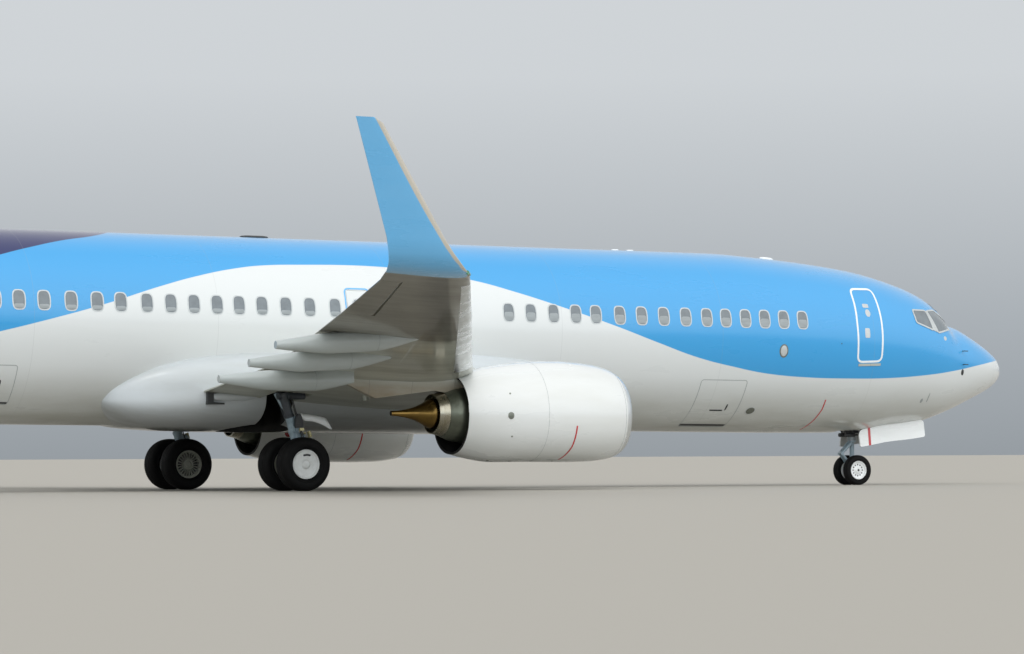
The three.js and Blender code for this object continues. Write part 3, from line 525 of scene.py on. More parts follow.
@dataclass(frozen=True)
class Finish:
    """A finish with one colour. Subclasses add what the eye sees in it.

    Attributes:
        name: What the finish is.
        slot: The record's material slot, or nothing where it has none; it is not used here.
        colour: Its sRGB colour.
        worn: The colour that it drifts to in patches and streaks.
        roughness: Its middle roughness.
        metallic: 0 for paint and rubber, 1 for metal.
        coat: Weight of a clear coat.
        grain_mm: Size of its patches.
        streak: How many times longer than high the patches are, along the air stream.
        drift: How far the patches go towards the worn colour.
        bump_mm: Height of its fine texture.
        bump_grain_mm: Size of its fine texture.
        coat_ior: Refraction of the clear coat.
        specular: The plain gloss under the coat: 0.5 for paint, less for rubber.
    """

    name: str
    slot: str
    colour: str
    worn: str
    roughness: float = 0.35
    metallic: float = 0.0
    coat: float = 0.0
    grain_mm: float = 600.0
    streak: float = 4.0
    drift: float = 0.5
    bump_mm: float = 0.05
    bump_grain_mm: float = 120.0
    coat_ior: float = 1.5
    specular: float = 0.5

    def made(self) -> bpy.types.Material:
        """Gives the material, made once.

        Returns:
            The Blender material.
        """
        found = bpy.data.materials.get(self.name)
        if found:
            return found
        material = bpy.data.materials.new(self.name)
        material.use_nodes = True
        tree = material.node_tree
        tree.nodes.clear()
        where = add_node(tree, "TexCoord").outputs["Object"]
        patches = self.patches(tree, where)
        colour, roughness = self.dressed(tree, where, patches)
        sockets = {"Base Color": colour, "Roughness": roughness, "Metallic": self.metallic}
        surface = add_node(tree, "BsdfPrincipled", {**sockets, "Normal": self.bump(tree, where)})
        surface.inputs["Coat Weight"].default_value = self.coat
        surface.inputs["Coat Roughness"].default_value = 0.06
        surface.inputs["Coat IOR"].default_value = self.coat_ior
        surface.inputs["Specular IOR Level"].default_value = self.specular
        add_node(tree, "OutputMaterial", {"Surface": surface})
        return material

    def patches(self, tree: Tree, where) -> bpy.types.Node:
        """Gives soft patches from 0 to 1, drawn out along the air stream."""
        size = 1000 / self.grain_mm
        stretch = add_node(tree, "Mapping", {"Vector": where, "Scale": (size / self.streak, size, size)})
        sockets = {"Vector": stretch, "Scale": 1.0, "Detail": 5.0, "Roughness": 0.6}
        return add_node(tree, "MapRange", (add_node(tree, "TexNoise", sockets), 0.38, 0.72))

    def bump(self, tree: Tree, where) -> bpy.types.Node:
        """Gives the normal of the fine texture."""
        sockets = {"Vector": where, "Scale": 1000 / self.bump_grain_mm, "Detail": 1.0}
        height = add_node(tree, "TexNoise", sockets)
        sockets = {"Height": height, "Strength": 0.6, "Distance": self.bump_mm / 1000}
        return add_node(tree, "Bump", sockets)

    def dressed(self, tree: Tree, where, patches) -> tuple:
        """Gives the colour and the roughness.

        Args:
            tree: The node tree.
            where: The socket with level coordinates.
            patches: The node with the patches.

        Returns:
            The colour's socket and the roughness's node.
        """
        share = add_node(tree, "Math", (patches, self.drift), operation="MULTIPLY")
        colour = laid_over(tree, share, linear(self.colour), self.worn)
        roughness = add_node(tree, "Math", (patches, 0.12, self.roughness - 0.05), operation="MULTIPLY_ADD")
        return colour, roughness


@dataclass(frozen=True)
class FineFinish(Finish):
    """A finish of machined or moulded parts, without streaks and with hardly any texture."""

    streak: float = 1.0
    bump_mm: float = 0.02


@dataclass(frozen=True)
class PanelledPaint(Finish):
    """Gloss polyurethane, sprayed over riveted panels: it shows hairline joints and a darker underside,
    grease and painted shade.

    Attributes:
        joints: Metres between joints along x, y and z; 0 for none that way.
        joint_mm: A joint's width, drawn coarse: the real ones are about 2 mm.
        seam: The joints' colour.
        seam_share: How far the joints go towards it.
        soot: The colour that the underside darkens to, partly grease and partly painted shade.
        film: The heights where that darkening starts and is full, or nothing for none.
    """

    bump_mm: float = 0.1
    bump_grain_mm: float = 500.0
    joints: Point = (0.0, 0.0, 0.0)
    joint_mm: float = 14.0
    seam: str = "#8E9494"
    seam_share: float = 0.35
    soot: str = "#8D8B78"
    film: Pair | None = None

    def seams(self, tree: Tree, where) -> bpy.types.Node:
        """Gives how far the joints' colour shows: nothing off the joints."""
        places = add_node(tree, "SeparateXYZ", (where,)).outputs
        wide, total = self.joint_mm / 1000, 0.0
        for place, spacing in zip(places, self.joints):
            if spacing:
                moved = add_node(tree, "Math", (place, 0.31 * spacing), operation="ADD")
                away = add_node(tree, "Math", (moved, spacing / 2), operation="PINGPONG")
                line = add_node(tree, "MapRange", (away, wide / 4, wide / 2, 1.0, 0.0))
                total = add_node(tree, "Math", (total, line), operation="MAXIMUM")
        return add_node(tree, "Math", (total, self.seam_share), operation="MULTIPLY")

    def filmed(self, tree: Tree, colour, where, patches) -> bpy.types.NodeSocket:
        """Darkens a colour towards the bottom, partly grease and partly painted shade, and gives the colour.
        """
        up = add_node(tree, "SeparateXYZ", (where,)).outputs[2]
        low = add_node(tree, "MapRange", (up, *self.film))
        share = add_node(tree, "Math", (patches, 0.32, 0.4), operation="MULTIPLY_ADD")
        return laid_over(tree, add_node(tree, "Math", (share, low), operation="MULTIPLY"), colour, self.soot)

    def dressed(self, tree: Tree, where, patches) -> tuple:
        """Adds the darker underside of grease and painted shade, and the joints, to the plain colour."""
        colour, roughness = super().dressed(tree, where, patches)
        if self.film:
            colour = self.filmed(tree, colour, where, patches)
        if any(self.joints):
            colour = laid_over(tree, self.seams(tree, where), colour, self.seam)
        return colour, roughness


@dataclass(frozen=True)
class WingPaint(PanelledPaint):
    """Wing enamel, pale near the fuselage, with a dark band further out of staining and painted shade.

    Attributes:
        pale: The inboard colour.
        pale_to: Metres from the middle where it ends.
        grime: The colour of the dark band behind the slats, partly staining and partly painted shade.
        sweep: How far the leading edge runs aft a metre outwards.
        root: Metres aft where that edge would meet the middle.
        band: Where the dark band starts and ends, in metres behind the edge.
        dirty_from: Metres from the middle where the dark band starts.
    """

    pale: str = "#B9BDB2"
    pale_to: float = 10.1
    grime: str = "#3A382F"
    sweep: float = 0.5459
    root: float = 13.99
    band: Pair = (0.42, 0.8)
    dirty_from: float = 9.9

    def dressed(self, tree: Tree, where, patches) -> tuple:
        """Lays the pale inboard colour over the rest."""
        colour, roughness = super().dressed(tree, where, patches)
        ahead, out, _ = add_node(tree, "SeparateXYZ", (where,)).outputs
        out = add_node(tree, "Math", (out,), operation="ABSOLUTE")
        outboard = step_up(tree, out, self.pale_to, 0.05)
        inboard = add_node(tree, "Math", (1.0, outboard), operation="SUBTRACT")
        uneven = add_node(tree, "Math", (patches, -0.45, 0.95), operation="MULTIPLY_ADD")
        share = add_node(tree, "Math", (inboard, uneven), operation="MULTIPLY")
        colour = laid_over(tree, share, colour, self.pale)
        # The dark band behind the slats outboard is partly staining and partly painted shade.
        swept = add_node(tree, "Math", (out, self.sweep, self.root), operation="MULTIPLY_ADD")
        aft = add_node(tree, "Math", (MAIN_GEAR, ahead), operation="SUBTRACT")
        behind = add_node(tree, "Math", (aft, swept), operation="SUBTRACT")
        ragged = add_node(tree, "Math", (patches, -0.25, behind), operation="MULTIPLY_ADD")
        ends = step_up(tree, behind, self.band[0], 0.06), step_up(tree, ragged, self.band[1], 0.5)
        dark_band_share = add_node(tree, "Math", ends, operation="SUBTRACT")
        outer = step_up(tree, out, self.dirty_from, 0.5)
        dark_band_share = add_node(tree, "Math", (dark_band_share, outer), operation="MULTIPLY")
        dark_band_share = add_node(tree, "Math", (dark_band_share, 0.75), operation="MULTIPLY")
        return laid_over(tree, dark_band_share, colour, self.grime), roughness


@dataclass(frozen=True)
class WingletPaint(PanelledPaint):
    """Winglet enamel, with a leading edge of bare metal that rain has dulled.

    Attributes:
        metal: The edge's colour.
        edge: The leading edge, as pairs of height and metres aft of station 20.
        wide: The bare strip's width.
    """

    metal: str = "#B9B3A6"
    edge: Pairs = (
        (0.0, 3.0), (3.6, 3.2), (3.77, 3.28), (3.81, 3.47), (3.92, 3.68), (4.09, 3.89), (4.33, 4.1),
        (6.22, 5.42), (6.8, 5.8), (8.0, 6.0),
    )
    wide: float = 0.1

    def dressed(self, tree: Tree, where, patches) -> tuple:
        """Lays the bare strip over the paint."""
        colour, roughness = super().dressed(tree, where, patches)
        ahead, _, up = add_node(tree, "SeparateXYZ", (where,)).outputs
        behind = add_node(tree, "Math", (MAIN_GEAR - 20 - self.wide, ahead), operation="SUBTRACT")
        painted = step_up(tree, behind, curve_through(tree, self.edge, up, 8.0), 0.012)
        share = add_node(tree, "Math", (1.0, painted), operation="SUBTRACT")
        return laid_over(tree, share, colour, self.metal), roughness


@dataclass(frozen=True)
class LiveryPaint(PanelledPaint):
    """Gloss polyurethane of the fuselage: white below, light blue above and navy behind, masked by hand.

    Attributes:
        blue: The light blue.
        navy: The dark blue.
        blue_edge: The light blue's lower edge, as pairs of metres aft and height.
        navy_edge: The navy's lower edge, the same way.
    """

    blue: str = "#349CD9"
    navy: str = "#13205A"
    blue_edge: Pairs = (
        (0.0, 3.1), (0.5, 3.05), (1.24, 2.94), (2.18, 2.78), (3.0, 2.67), (4.28, 2.57), (5.5, 2.543),
        (6.4, 2.55), (7.4, 2.605), (8.5, 2.765), (9.3, 2.92), (10.4, 3.235), (11.3, 3.52), (12.2, 3.79),
        (13.0, 4.02), (13.9, 4.265), (14.85, 4.49), (16.0, 4.66), (17.2, 4.735), (18.9, 4.718),
        (19.8, 4.675), (20.5, 4.582), (21.3, 4.417), (22.1, 4.205), (23.6, 3.74), (25.0, 3.36),
        (26.5, 2.98), (28.5, 2.35), (31.0, 1.4), (40.0, 0.0),
    )
    navy_edge: Pairs = (
        (0.0, 6.0), (21.5, 5.6), (22.6, 5.36), (23.3, 5.21), (24.0, 5.1), (24.8, 4.93), (25.6, 4.73),
        (27.0, 4.3), (28.5, 3.75), (30.2, 3.0), (32.0, 2.1), (40.0, 0.0),
    )

    def dressed(self, tree: Tree, where, patches) -> tuple:
        """Lays the colours over each other, then the joints and the belly's darkening of painted shade and a
        little grease.
        """
        ahead, _, up = add_node(tree, "SeparateXYZ", (where,)).outputs
        aft = add_node(tree, "Math", (MAIN_GEAR, ahead), operation="SUBTRACT")
        # The belly darkens towards the keel: painted shade with a little grease.
        colour = self.filmed(tree, linear(self.colour), where, patches)
        for edge, paint in ((self.blue_edge, self.blue), (self.navy_edge, self.navy)):
            share = step_up(tree, up, curve_through(tree, edge, aft), 0.012)
            colour = laid_over(tree, share, colour, paint)
        colour = laid_over(tree, self.seams(tree, where), colour, self.seam)
        roughness = add_node(tree, "Math", (patches, 0.08, self.roughness - 0.03), operation="MULTIPLY_ADD")
        return colour, roughness


# Glossy under a clear coat, faintly wavy over the frames, with the belly darkened by painted shade and a
# little grease.
WHITE = LiveryPaint(
    "fuselage_gloss_polyurethane", "white_paint", "#D9DDDD", "#CACDCA", roughness=0.3, coat=0.8,
    coat_ior=1.55, joints=(4.064, 0.0, 0.0), seam_share=0.2, bump_mm=0.5, bump_grain_mm=1100.0,
    specular=0.3, film=(2.5, 1.35),
)
# A mirror-like coat over a cleaner white.
COWL_WHITE = PanelledPaint(
    "cowling_gloss_polyurethane", "white_paint", "#DDE0DF", "#CACBC4", roughness=0.3, coat=0.8,
    coat_ior=1.6, drift=0.4, seam_share=0.25, bump_mm=0.2, bump_grain_mm=900.0,
)
# Duller white, streaked along the air stream and darker underneath, painted shade with some grease.
FAIRING_WHITE = PanelledPaint(
    "fairing_gloss_polyurethane", "white_paint", "#C3CACE", "#A3A59C", roughness=0.34, coat=0.6, drift=0.4,
    streak=7.0, bump_mm=0.2, bump_grain_mm=900.0, soot="#4E4C41", film=(1.85, 1.25),
)
# Dark gloss, in which the sky shows as a grey sheen.
NAVY = PanelledPaint(
    "tail_navy_polyurethane", "navy_paint", "#13205A", "#1C2A66", roughness=0.28, coat=0.5, bump_mm=0.2,
    bump_grain_mm=900.0, joints=(0.0, 0.0, 1.9), seam="#141A40", seam_share=0.5, drift=0.3,
)
# Even satin blue, with a dull metal edge in front.
LIGHT_BLUE = WingletPaint(
    "winglet_light_blue_polyurethane", "light_blue_paint", "#5FA9D8", "#74B2DB", roughness=0.3, coat=0.7,
    drift=0.3,
)
# Mottled grey with a dark band outboard, partly staining and partly painted shade.
WING_GREY = WingPaint(
    "wing_grey_enamel", "grey_paint", "#86847A", "#5F5C50", roughness=0.34, coat=0.4, drift=0.6,
    grain_mm=520.0,
)
# Pale grey that turns brown towards the bottom.
CANOE_GREY = PanelledPaint(
    "pylon_grey_enamel", "grey_paint", "#B9BDB5", "#98988A", roughness=0.36, coat=0.35,
    joints=(0.95, 0.0, 0.0), drift=0.45, grain_mm=400.0, seam="#6B6C66", seam_share=0.5, soot="#80663F",
    film=(2.3, 2.1),
)
# Cool grey, streaked along the air stream.
TRACK_GREY = PanelledPaint(
    "track_fairing_grey_enamel", "grey_paint", "#B0B8B8", "#8E938C", roughness=0.32, coat=0.5, drift=0.45,
    grain_mm=500.0, streak=5.0,
)
# Dark grey that paints the shade on the upper leg inside the well, with a greasy shine in patches.
SHADED_STRUT_GREY = FineFinish(
    "greased_strut_enamel", "gear_paint", "#3E454C", "#272B2F", roughness=0.4, drift=0.6, grain_mm=160.0,
)
# A bright band that mirrors the sky softly.
POLISHED = Finish(
    "brushed_aluminium_leading_edge", "bare_metal", "#E2E6E8", "#B7B7B0", roughness=0.3, metallic=0.85,
    grain_mm=500.0, streak=0.5, bump_mm=0.1, bump_grain_mm=400.0,
)
# Warm grey metal with straw-coloured bands round it.
TITANIUM = Finish(
    "rolled_titanium_nozzle", "bare_metal", "#A9A698", "#857A5C", roughness=0.26, metallic=1.0, drift=0.6,
    grain_mm=300.0, streak=0.4, bump_mm=0.02,
)
# Bronze that heat has browned in patches.
SCORCHED = Finish(
    "heat_tinted_bronze_plug", "exhaust_bronze", "#8E7340", "#4A3B22", roughness=0.24, metallic=1.0,
    drift=0.8, grain_mm=260.0, streak=2.0, bump_mm=0.02,
)
# Greenish dull metal.
CORE_METAL = FineFinish(
    "heat_dulled_core_cowling", "exhaust_metal", "#74796C", "#50544A", roughness=0.34, metallic=0.7,
    drift=0.6, grain_mm=300.0,
)
# Flat black painted shade, so that the duct and the plug's drain look deep.
SHADE_BLACK = Finish("soot_black_lining", "exhaust_metal", "#141414", "#232321", roughness=0.8, grain_mm=90.0)
# Dark metal with a soft glint on each blade.
BLADE_METAL = FineFinish(
    "forged_titanium_blade", "fan_metal", "#3B4046", "#565C62", roughness=0.32, metallic=0.9, drift=0.4,
    grain_mm=90.0, bump_mm=0.05,
)
# Mid grey with a wet gloss.
GEAR_ENAMEL = FineFinish(
    "gear_grey_enamel", "gear_paint", "#8E979B", "#5E6669", roughness=0.32, coat=0.4, grain_mm=160.0,
)
# White gloss with brake dust in patches.
WHEEL_ENAMEL = FineFinish(
    "cast_wheel_white_enamel", "wheel_paint", "#DDE0DF", "#B4B4AC", roughness=0.34, coat=0.3, drift=0.4,
    grain_mm=120.0,
)
# Nearly black and matt, with a fine grain that is drawn coarse so that it shows.
TYRE_RUBBER = FineFinish(
    "moulded_tyre_rubber", "tyre", "#060607", "#0E0E0D", roughness=0.7, grain_mm=120.0, specular=0.2,
    bump_mm=0.3, bump_grain_mm=20.0,
)
# Grey panes that mirror the sky.
GLASS = FineFinish(
    "laminated_window_glass", "", "#6C767C", "#4F585E", roughness=0.12, coat=0.8, grain_mm=180.0,
)
# Pale and matt behind the panes, with a weave that is drawn coarse so that it shows.
BLIND_GREY = Finish(
    "woven_window_blind", "", "#9EA5A8", "#858C8E", roughness=0.6, drift=0.6, grain_mm=60.0, streak=5.0,
)
# A thin silver ring that catches the light.
RIM_GREY = FineFinish(
    "anodised_window_rim", "bare_metal", "#C6CBCC", "#A8ABA9", roughness=0.34, metallic=0.3, drift=0.4,
    grain_mm=40.0, bump_mm=0.05,
)
# Primer shadowed to near black, painted shade so that the bays look deep.
BAY_SHADE = FineFinish(
    "gear_bay_primer", "gear_paint", "#191A18", "#0C0D0C", roughness=0.7, drift=0.7, grain_mm=240.0,
    bump_mm=0.05,
)
# Clean white gloss that stands out from the skin.
OUTLINE_WHITE = Finish(
    "door_outline_white", "white_paint", "#EEF1F1", "#DADDDC", roughness=0.32, coat=0.5, drift=0.3,
    grain_mm=120.0,
)
# A paler blue than the skin's.
OUTLINE_BLUE = Finish(
    "exit_outline_blue", "light_blue_paint", "#5AAFE9", "#7BC0EE", roughness=0.32, coat=0.5, drift=0.3,
    grain_mm=120.0,
)
# Strong red, a little faded.
OUTLINE_RED = Finish("warning_line_red", "", "#C0242C", "#A53A3E", coat=0.4, drift=0.3, grain_mm=120.0)
# A soft grey hairline.
JOINT_GREY = Finish("door_joint_sealant", "grey_paint", "#9DA3A4", "#82888A", roughness=0.6, grain_mm=80.0)
# Brownish grey, uneven with brake dust.
HUB_GREY = FineFinish(
    "forged_wheel_grey_enamel", "wheel_paint", "#8F9084", "#66665D", roughness=0.4, drift=0.6,
    grain_mm=120.0, bump_mm=0.05,
)
# Cool blue-grey gloss.
STEEL_BLUE = FineFinish(
    "link_steel_blue_enamel", "gear_paint", "#90A4AF", "#66757E", roughness=0.34, coat=0.4, grain_mm=120.0,
)
# Dull yellow metal.
BRASS = FineFinish(
    "machined_brass_valve", "", "#B5AE86", "#7C7338", roughness=0.3, metallic=0.6, grain_mm=60.0,
)
# Deep red with a glassy shine.
RED_LENS = FineFinish("moulded_red_lens", "", "#9B1B22", "#6E1217", roughness=0.12, coat=0.8, grain_mm=80.0)
# Green with a glassy shine.
GREEN_LENS = FineFinish(
    "moulded_green_lens", "", "#3C8F5A", "#2A6B41", roughness=0.12, coat=0.8, grain_mm=80.0,
)
# Stained grey metal.
PORT_METAL = FineFinish(
    "etched_port_metal", "bare_metal", "#7C8077", "#565A52", roughness=0.4, metallic=0.6, drift=0.6,
    grain_mm=60.0, bump_mm=0.05,
)
# Nearly black satin.
DARK_FITTING = Finish("dark_fitting_enamel", "gear_paint", "#2B2D2F", "#454849", roughness=0.5, grain_mm=40.0)


# The fuselage's own shape


@dataclass(frozen=True)
class Hull:
    """The fuselage's outer surface: upper and lower half ellipses along the body.

    Attributes:
        rows: Metres aft, crown, keel, half width and height of the widest line.
        bow: Where distances count from, so that the nose comes out round.
    """

    bow: float = 0.1
    rows: Rows = (
        (0.117, 2.84, 2.76, 0.05, 2.8), (0.17, 2.95, 2.65, 0.19, 2.8), (0.27, 3.115, 2.538, 0.34, 2.82),
        (0.47, 3.272, 2.4, 0.53, 2.83), (0.77, 3.446, 2.255, 0.73, 2.86), (1.17, 3.651, 2.082, 0.935, 2.9),
        (1.57, 3.829, 1.91, 1.1, 2.94), (1.97, 3.932, 1.762, 1.24, 2.99), (2.37, 4.399, 1.636, 1.36, 3.07),
        (2.87, 4.648, 1.56, 1.49, 3.17), (3.42, 4.819, 1.503, 1.6, 3.25), (4.32, 5.022, 1.368, 1.74, 3.33),
        (5.52, 5.172, 1.342, 1.84, 3.39), (7.02, 5.286, 1.33, 1.88, 3.44), (8.2, 5.34, 1.33, 1.88, 3.46),
        (25.5, 5.34, 1.33, 1.88, 3.46), (27.0, 5.34, 1.37, 1.87, 3.48), (28.5, 5.335, 1.52, 1.83, 3.55),
        (30.0, 5.32, 1.78, 1.74, 3.66), (31.5, 5.29, 2.11, 1.58, 3.8), (33.0, 5.24, 2.49, 1.36, 3.95),
        (34.5, 5.16, 2.89, 1.08, 4.1), (35.6, 5.06, 3.22, 0.83, 4.2), (36.6, 4.94, 3.54, 0.6, 4.28),
        (37.5, 4.79, 3.84, 0.4, 4.33), (38.14, 4.63, 4.05, 0.26, 4.35),
    )

    def row(self, aft: float) -> tuple[float, ...]:
        """Gives crown, keel, half width and widest height at a station."""
        table = SmoothTable(tuple((math.sqrt(r[0] - self.bow), *r[1:]) for r in self.rows))
        return table.at(math.sqrt(max(aft, self.rows[0][0]) - self.bow))

    def side(self, aft: float, up: float, side: Side, grow: float = 0.0) -> Vector:
        """Gives the surface point at a height on one side."""
        crown, keel, half, widest = self.row(aft)
        rise = (crown - widest if up > widest else widest - keel) + grow
        share = min(1.0, abs(up - widest) / rise)
        return level(aft, side.value * (half + grow) * math.sqrt(1 - share * share), up)

    def over(self, aft: float, out: float, grow: float = 0.0, below: bool = False) -> Vector:
        """Gives the upper or the lower surface point at a distance out from the middle."""
        crown, keel, half, widest = self.row(aft)
        share = min(1.0, abs(out) / (half + grow))
        rise = keel - widest - grow if below else crown - widest + grow
        return level(aft, out, widest + rise * math.sqrt(1 - share * share))


HULL = Hull()


def ribbon(
    path: list[Pair], side: Side, width: float, proud: float = 0.004, closed: bool = False
) -> Shape:
    """Lays a thin ribbon on one side of the fuselage.

    Args:
        path: Its middle line, as metres aft and height.
        side: The side.
        width: Its width.
        proud: How far it stands off the surface.
        closed: Whether the path closes on itself.

    Returns:
        The shape of a closed flat-sided strip.
    """
    spots = [Vector(p) for p in path]
    if closed:
        spots.append(spots[0])
    fine = [spots[0]]
    for a, b in zip(spots, spots[1:]):
        steps = max(1, round((b - a).length / 0.09))
        fine += [a.lerp(b, (k + 1) / steps) for k in range(steps)]
    count = len(fine)
    rings = []
    for i, spot in enumerate(fine):
        before = fine[i - 1] if i else (fine[-2] if closed else spot)
        after = fine[i + 1] if i < count - 1 else (fine[1] if closed else spot)
        first, second = (spot - before), (after - spot)
        inside = first.length and second.length
        along = first.normalized() + second.normalized() if inside else after - before
        along.normalize()
        across = Vector((-along.y, along.x))
        lean = max(0.5, across.dot(Vector((-second.y, second.x)).normalized()) if second.length else 1.0)
        half = across * (width / 2 / lean)
        left, right = spot + half, spot - half
        corners = ((left, SUNK), (left, proud), (right, proud), (right, SUNK))
        rings.append([HULL.side(edge.x, edge.y, side, grow) for edge, grow in corners])
    return skin(rings[:-1] if closed else rings, closed=closed)


def rounded(low: Pair, high: Pair, radius: float) -> list[Pair]:
    """Lists the outline of a rectangle with round corners, as metres aft and height."""
    aft, rear, down, up = low[0] + radius, high[0] - radius, low[1] + radius, high[1] - radius
    path = []
    for x, y, turn in ((rear, up, 0), (aft, up, 90), (aft, down, 180), (rear, down, 270)):
        for k in range(6):
            angle = math.radians(turn + 18 * k)
            path.append((x + radius * math.cos(angle), y + radius * math.sin(angle)))
    return path


def softened(path: list[Pair], radius: float, steps: int = 5) -> list[Pair]:
    """Rounds the corners of a closed path.

    Args:
        path: Its corners.
        radius: How far from a corner its curve starts.
        steps: Straight pieces a curve.

    Returns:
        The smooth path.
    """
    smooth = []
    for i, corner in enumerate(path):
        here, before, after = Vector(corner), Vector(path[i - 1]), Vector(path[(i + 1) % len(path)])
        a = here + (before - here).normalized() * min(radius, (before - here).length / 2)
        b = here + (after - here).normalized() * min(radius, (after - here).length / 2)
        for k in range(steps + 1):
            t = k / steps
            smooth.append(tuple(a.lerp(here, t).lerp(here.lerp(b, t), t)))
    return smooth


def spot(
    middle: Pair, half: Pair, side: Side, proud: float = 0.004, power: float = 2.0
) -> Shape:
    """Lays a small round or squarish plate on one side of the fuselage.

    Args:
        middle: Metres aft and height.
        half: Half its length and half its height.
        side: The side.
        proud: How far it stands off the surface.
        power: 2 for an ellipse, more for a squarer outline.

    Returns:
        The shape.
    """
    rings = []
    for shrink, grow in ((1.0, SUNK), (1.0, proud * 0.6), (0.85, proud)):
        ring = []
        for turn in circle(24):
            c, s = bulged(turn, 2 / power)
            aft, up = middle[0] + shrink * half[0] * c, middle[1] + shrink * half[1] * s
            ring.append(HULL.side(aft, up, side, grow))
        rings.append(ring)
    return skin(rings)


@dataclass
class FuselageSkin:
    """The fuselage's five sections, drawn fine, with the bays and exit frames cut out."""

    sections: tuple[tuple[str, float, float], ...] = (
        ("radome", 0.117, 1.17),
        ("nose_section", 1.17, 7.02),
        ("centre_section", 7.02, 25.5),
        ("aft_section", 25.5, 36.6),
        ("tail_cone", 36.6, 38.14),
    )
    facets: int = 112
    nose_bay: tuple[Point, Point] = ((2.42, -0.33, 1.0), (4.75, 0.33, 2.2))
    well_radius: float = 0.76
    well_out: float = 0.86
    well_top: float = 2.25
    slot: tuple[Point, Point] = ((19.38, 0.8, 0.9), (20.14, 3.02, 2.04))

    def stations(self, start: float, end: float) -> list[float]:
        """Lists where the rings of one section stand."""
        places, aft = [start], start
        while aft < end - 1e-6:
            step = 0.035 if aft < 0.4 else 0.09 if aft < 3.6 else 0.25 if aft < 8 or aft > 24.9 else 1.2
            aft = min(end, aft + step)
            places.append(aft)
        return places

    def section(self, start: float, end: float) -> Shape:
        """Skins one section between two stations."""
        rings = []
        for aft in self.stations(start, end):
            crown, keel, half, widest = HULL.row(aft)
            ring = []
            for turn in circle(self.facets):
                rise = crown - widest if math.sin(turn) > 0 else widest - keel
                ring.append(level(aft, half * math.cos(turn), widest + rise * math.sin(turn)))
            rings.append(ring)
        return skin(rings)

    def wells(self, rear: float | None = None) -> list[Shape]:
        """Gives the shapes that the main wheels and legs fold into.

        Args:
            rear: The leg slots' rear end, in metres aft, when it isn't the wing's.

        Returns:
            The shapes.
        """
        shapes = []
        for side in Side:
            start = level(MAIN_GEAR, side.value * self.well_out, 0.9)
            profile = [(0.0, self.well_radius), (self.well_top - 0.9, self.well_radius)]
            shapes.append(turned(profile, start, Z_AXIS, 64))
            low, high = self.slot
            outs = sorted((side.value * low[1], side.value * high[1]))
            shapes.append(slab(level(rear or high[0], outs[0], low[2]), level(low[0], outs[1], high[2])))
        return shapes

    def build(self) -> None:
        """Builds the sections."""
        for node, start, end in self.sections:
            piece = add_piece(f"{node}_skin", [self.section(start, end)], WHITE)
            tools = []
            if node == "nose_section":
                low, high = self.nose_bay
                tools = [slab(level(high[0], low[1], low[2]), level(low[0], high[1], high[2]))]
            if node == "centre_section":
                tools = [*self.wells(), *(e.recess(side) for e in EXITS for side in Side)]
                tools += [e.groove(side) for e in EXITS for side in Side]
            cut_away(piece, tools)
            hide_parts(node)


@dataclass
class OverwingExit:
    """A hatch over the wing, hinged at its top edge, with its window and outline."""

    label: str
    middle: float
    width: float = 0.51
    bottom: float = 3.24
    top: float = 4.2
    thick: float = 0.06
    deep: float = 0.08
    gap: float = 0.007
    knuckle: float = 0.012

    def block(self, side: Side, grow: float, inner: float, outer: float) -> Shape:
        """Gives the closed shape between two depths in the skin."""
        low, high = self.middle - self.width / 2 - grow, self.middle + self.width / 2 + grow
        ups = spread(self.bottom - grow, self.top + grow, 0.05)
        corners = ((high, inner), (high, outer), (low, outer), (low, inner))
        return skin([[HULL.side(aft, up, side, depth) for aft, depth in corners] for up in ups])

    def recess(self, side: Side) -> Shape:
        """Gives the shape that is cut from the skin."""
        return self.block(side, self.gap, -self.deep, 0.3)

    def hinge(self, side: Side, radius: float, spare: float) -> Shape:
        """Gives a rod along the hinge line."""
        up = self.top + self.gap / 2
        half = self.width / 3 + spare
        return rod([HULL.side(aft, up, side) for aft in (self.middle - half, self.middle + half)], radius, 16)

    def groove(self, side: Side) -> Shape:
        """Gives the groove that the hinge lies in."""
        return self.hinge(side, self.knuckle + 0.001, self.gap)

    def build(self, side: Side) -> None:
        """Builds the hatch, its hinge, window and outline on one side."""
        body = f"exit_{self.label}_{side.label}"
        shapes = [self.block(side, 0.0, -self.thick, 0.0), self.hinge(side, self.knuckle, 0.0)]
        hatch = add_piece(f"{body}_hatch", shapes, WHITE, body)
        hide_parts(body)
        rim, glass, blind = cabin_window(self.middle, 3.82, side)
        add_piece(f"{body}_window_rim", [rim], RIM_GREY, body)
        add_piece(f"{body}_window_blind", [blind], BLIND_GREY, body)
        add_piece(f"{body}_window_glass", [glass], GLASS, body)
        half = self.width / 2 + 0.035
        low, high = (self.middle - half, self.bottom - 0.035), (self.middle + half, self.top + 0.035)
        path = rounded(low, high, 0.09)
        add_piece(f"{body}_outline", [ribbon(path, side, 0.03, closed=True)], OUTLINE_BLUE)


EXITS = (OverwingExit("fore", 16.7), OverwingExit("aft", 17.73))


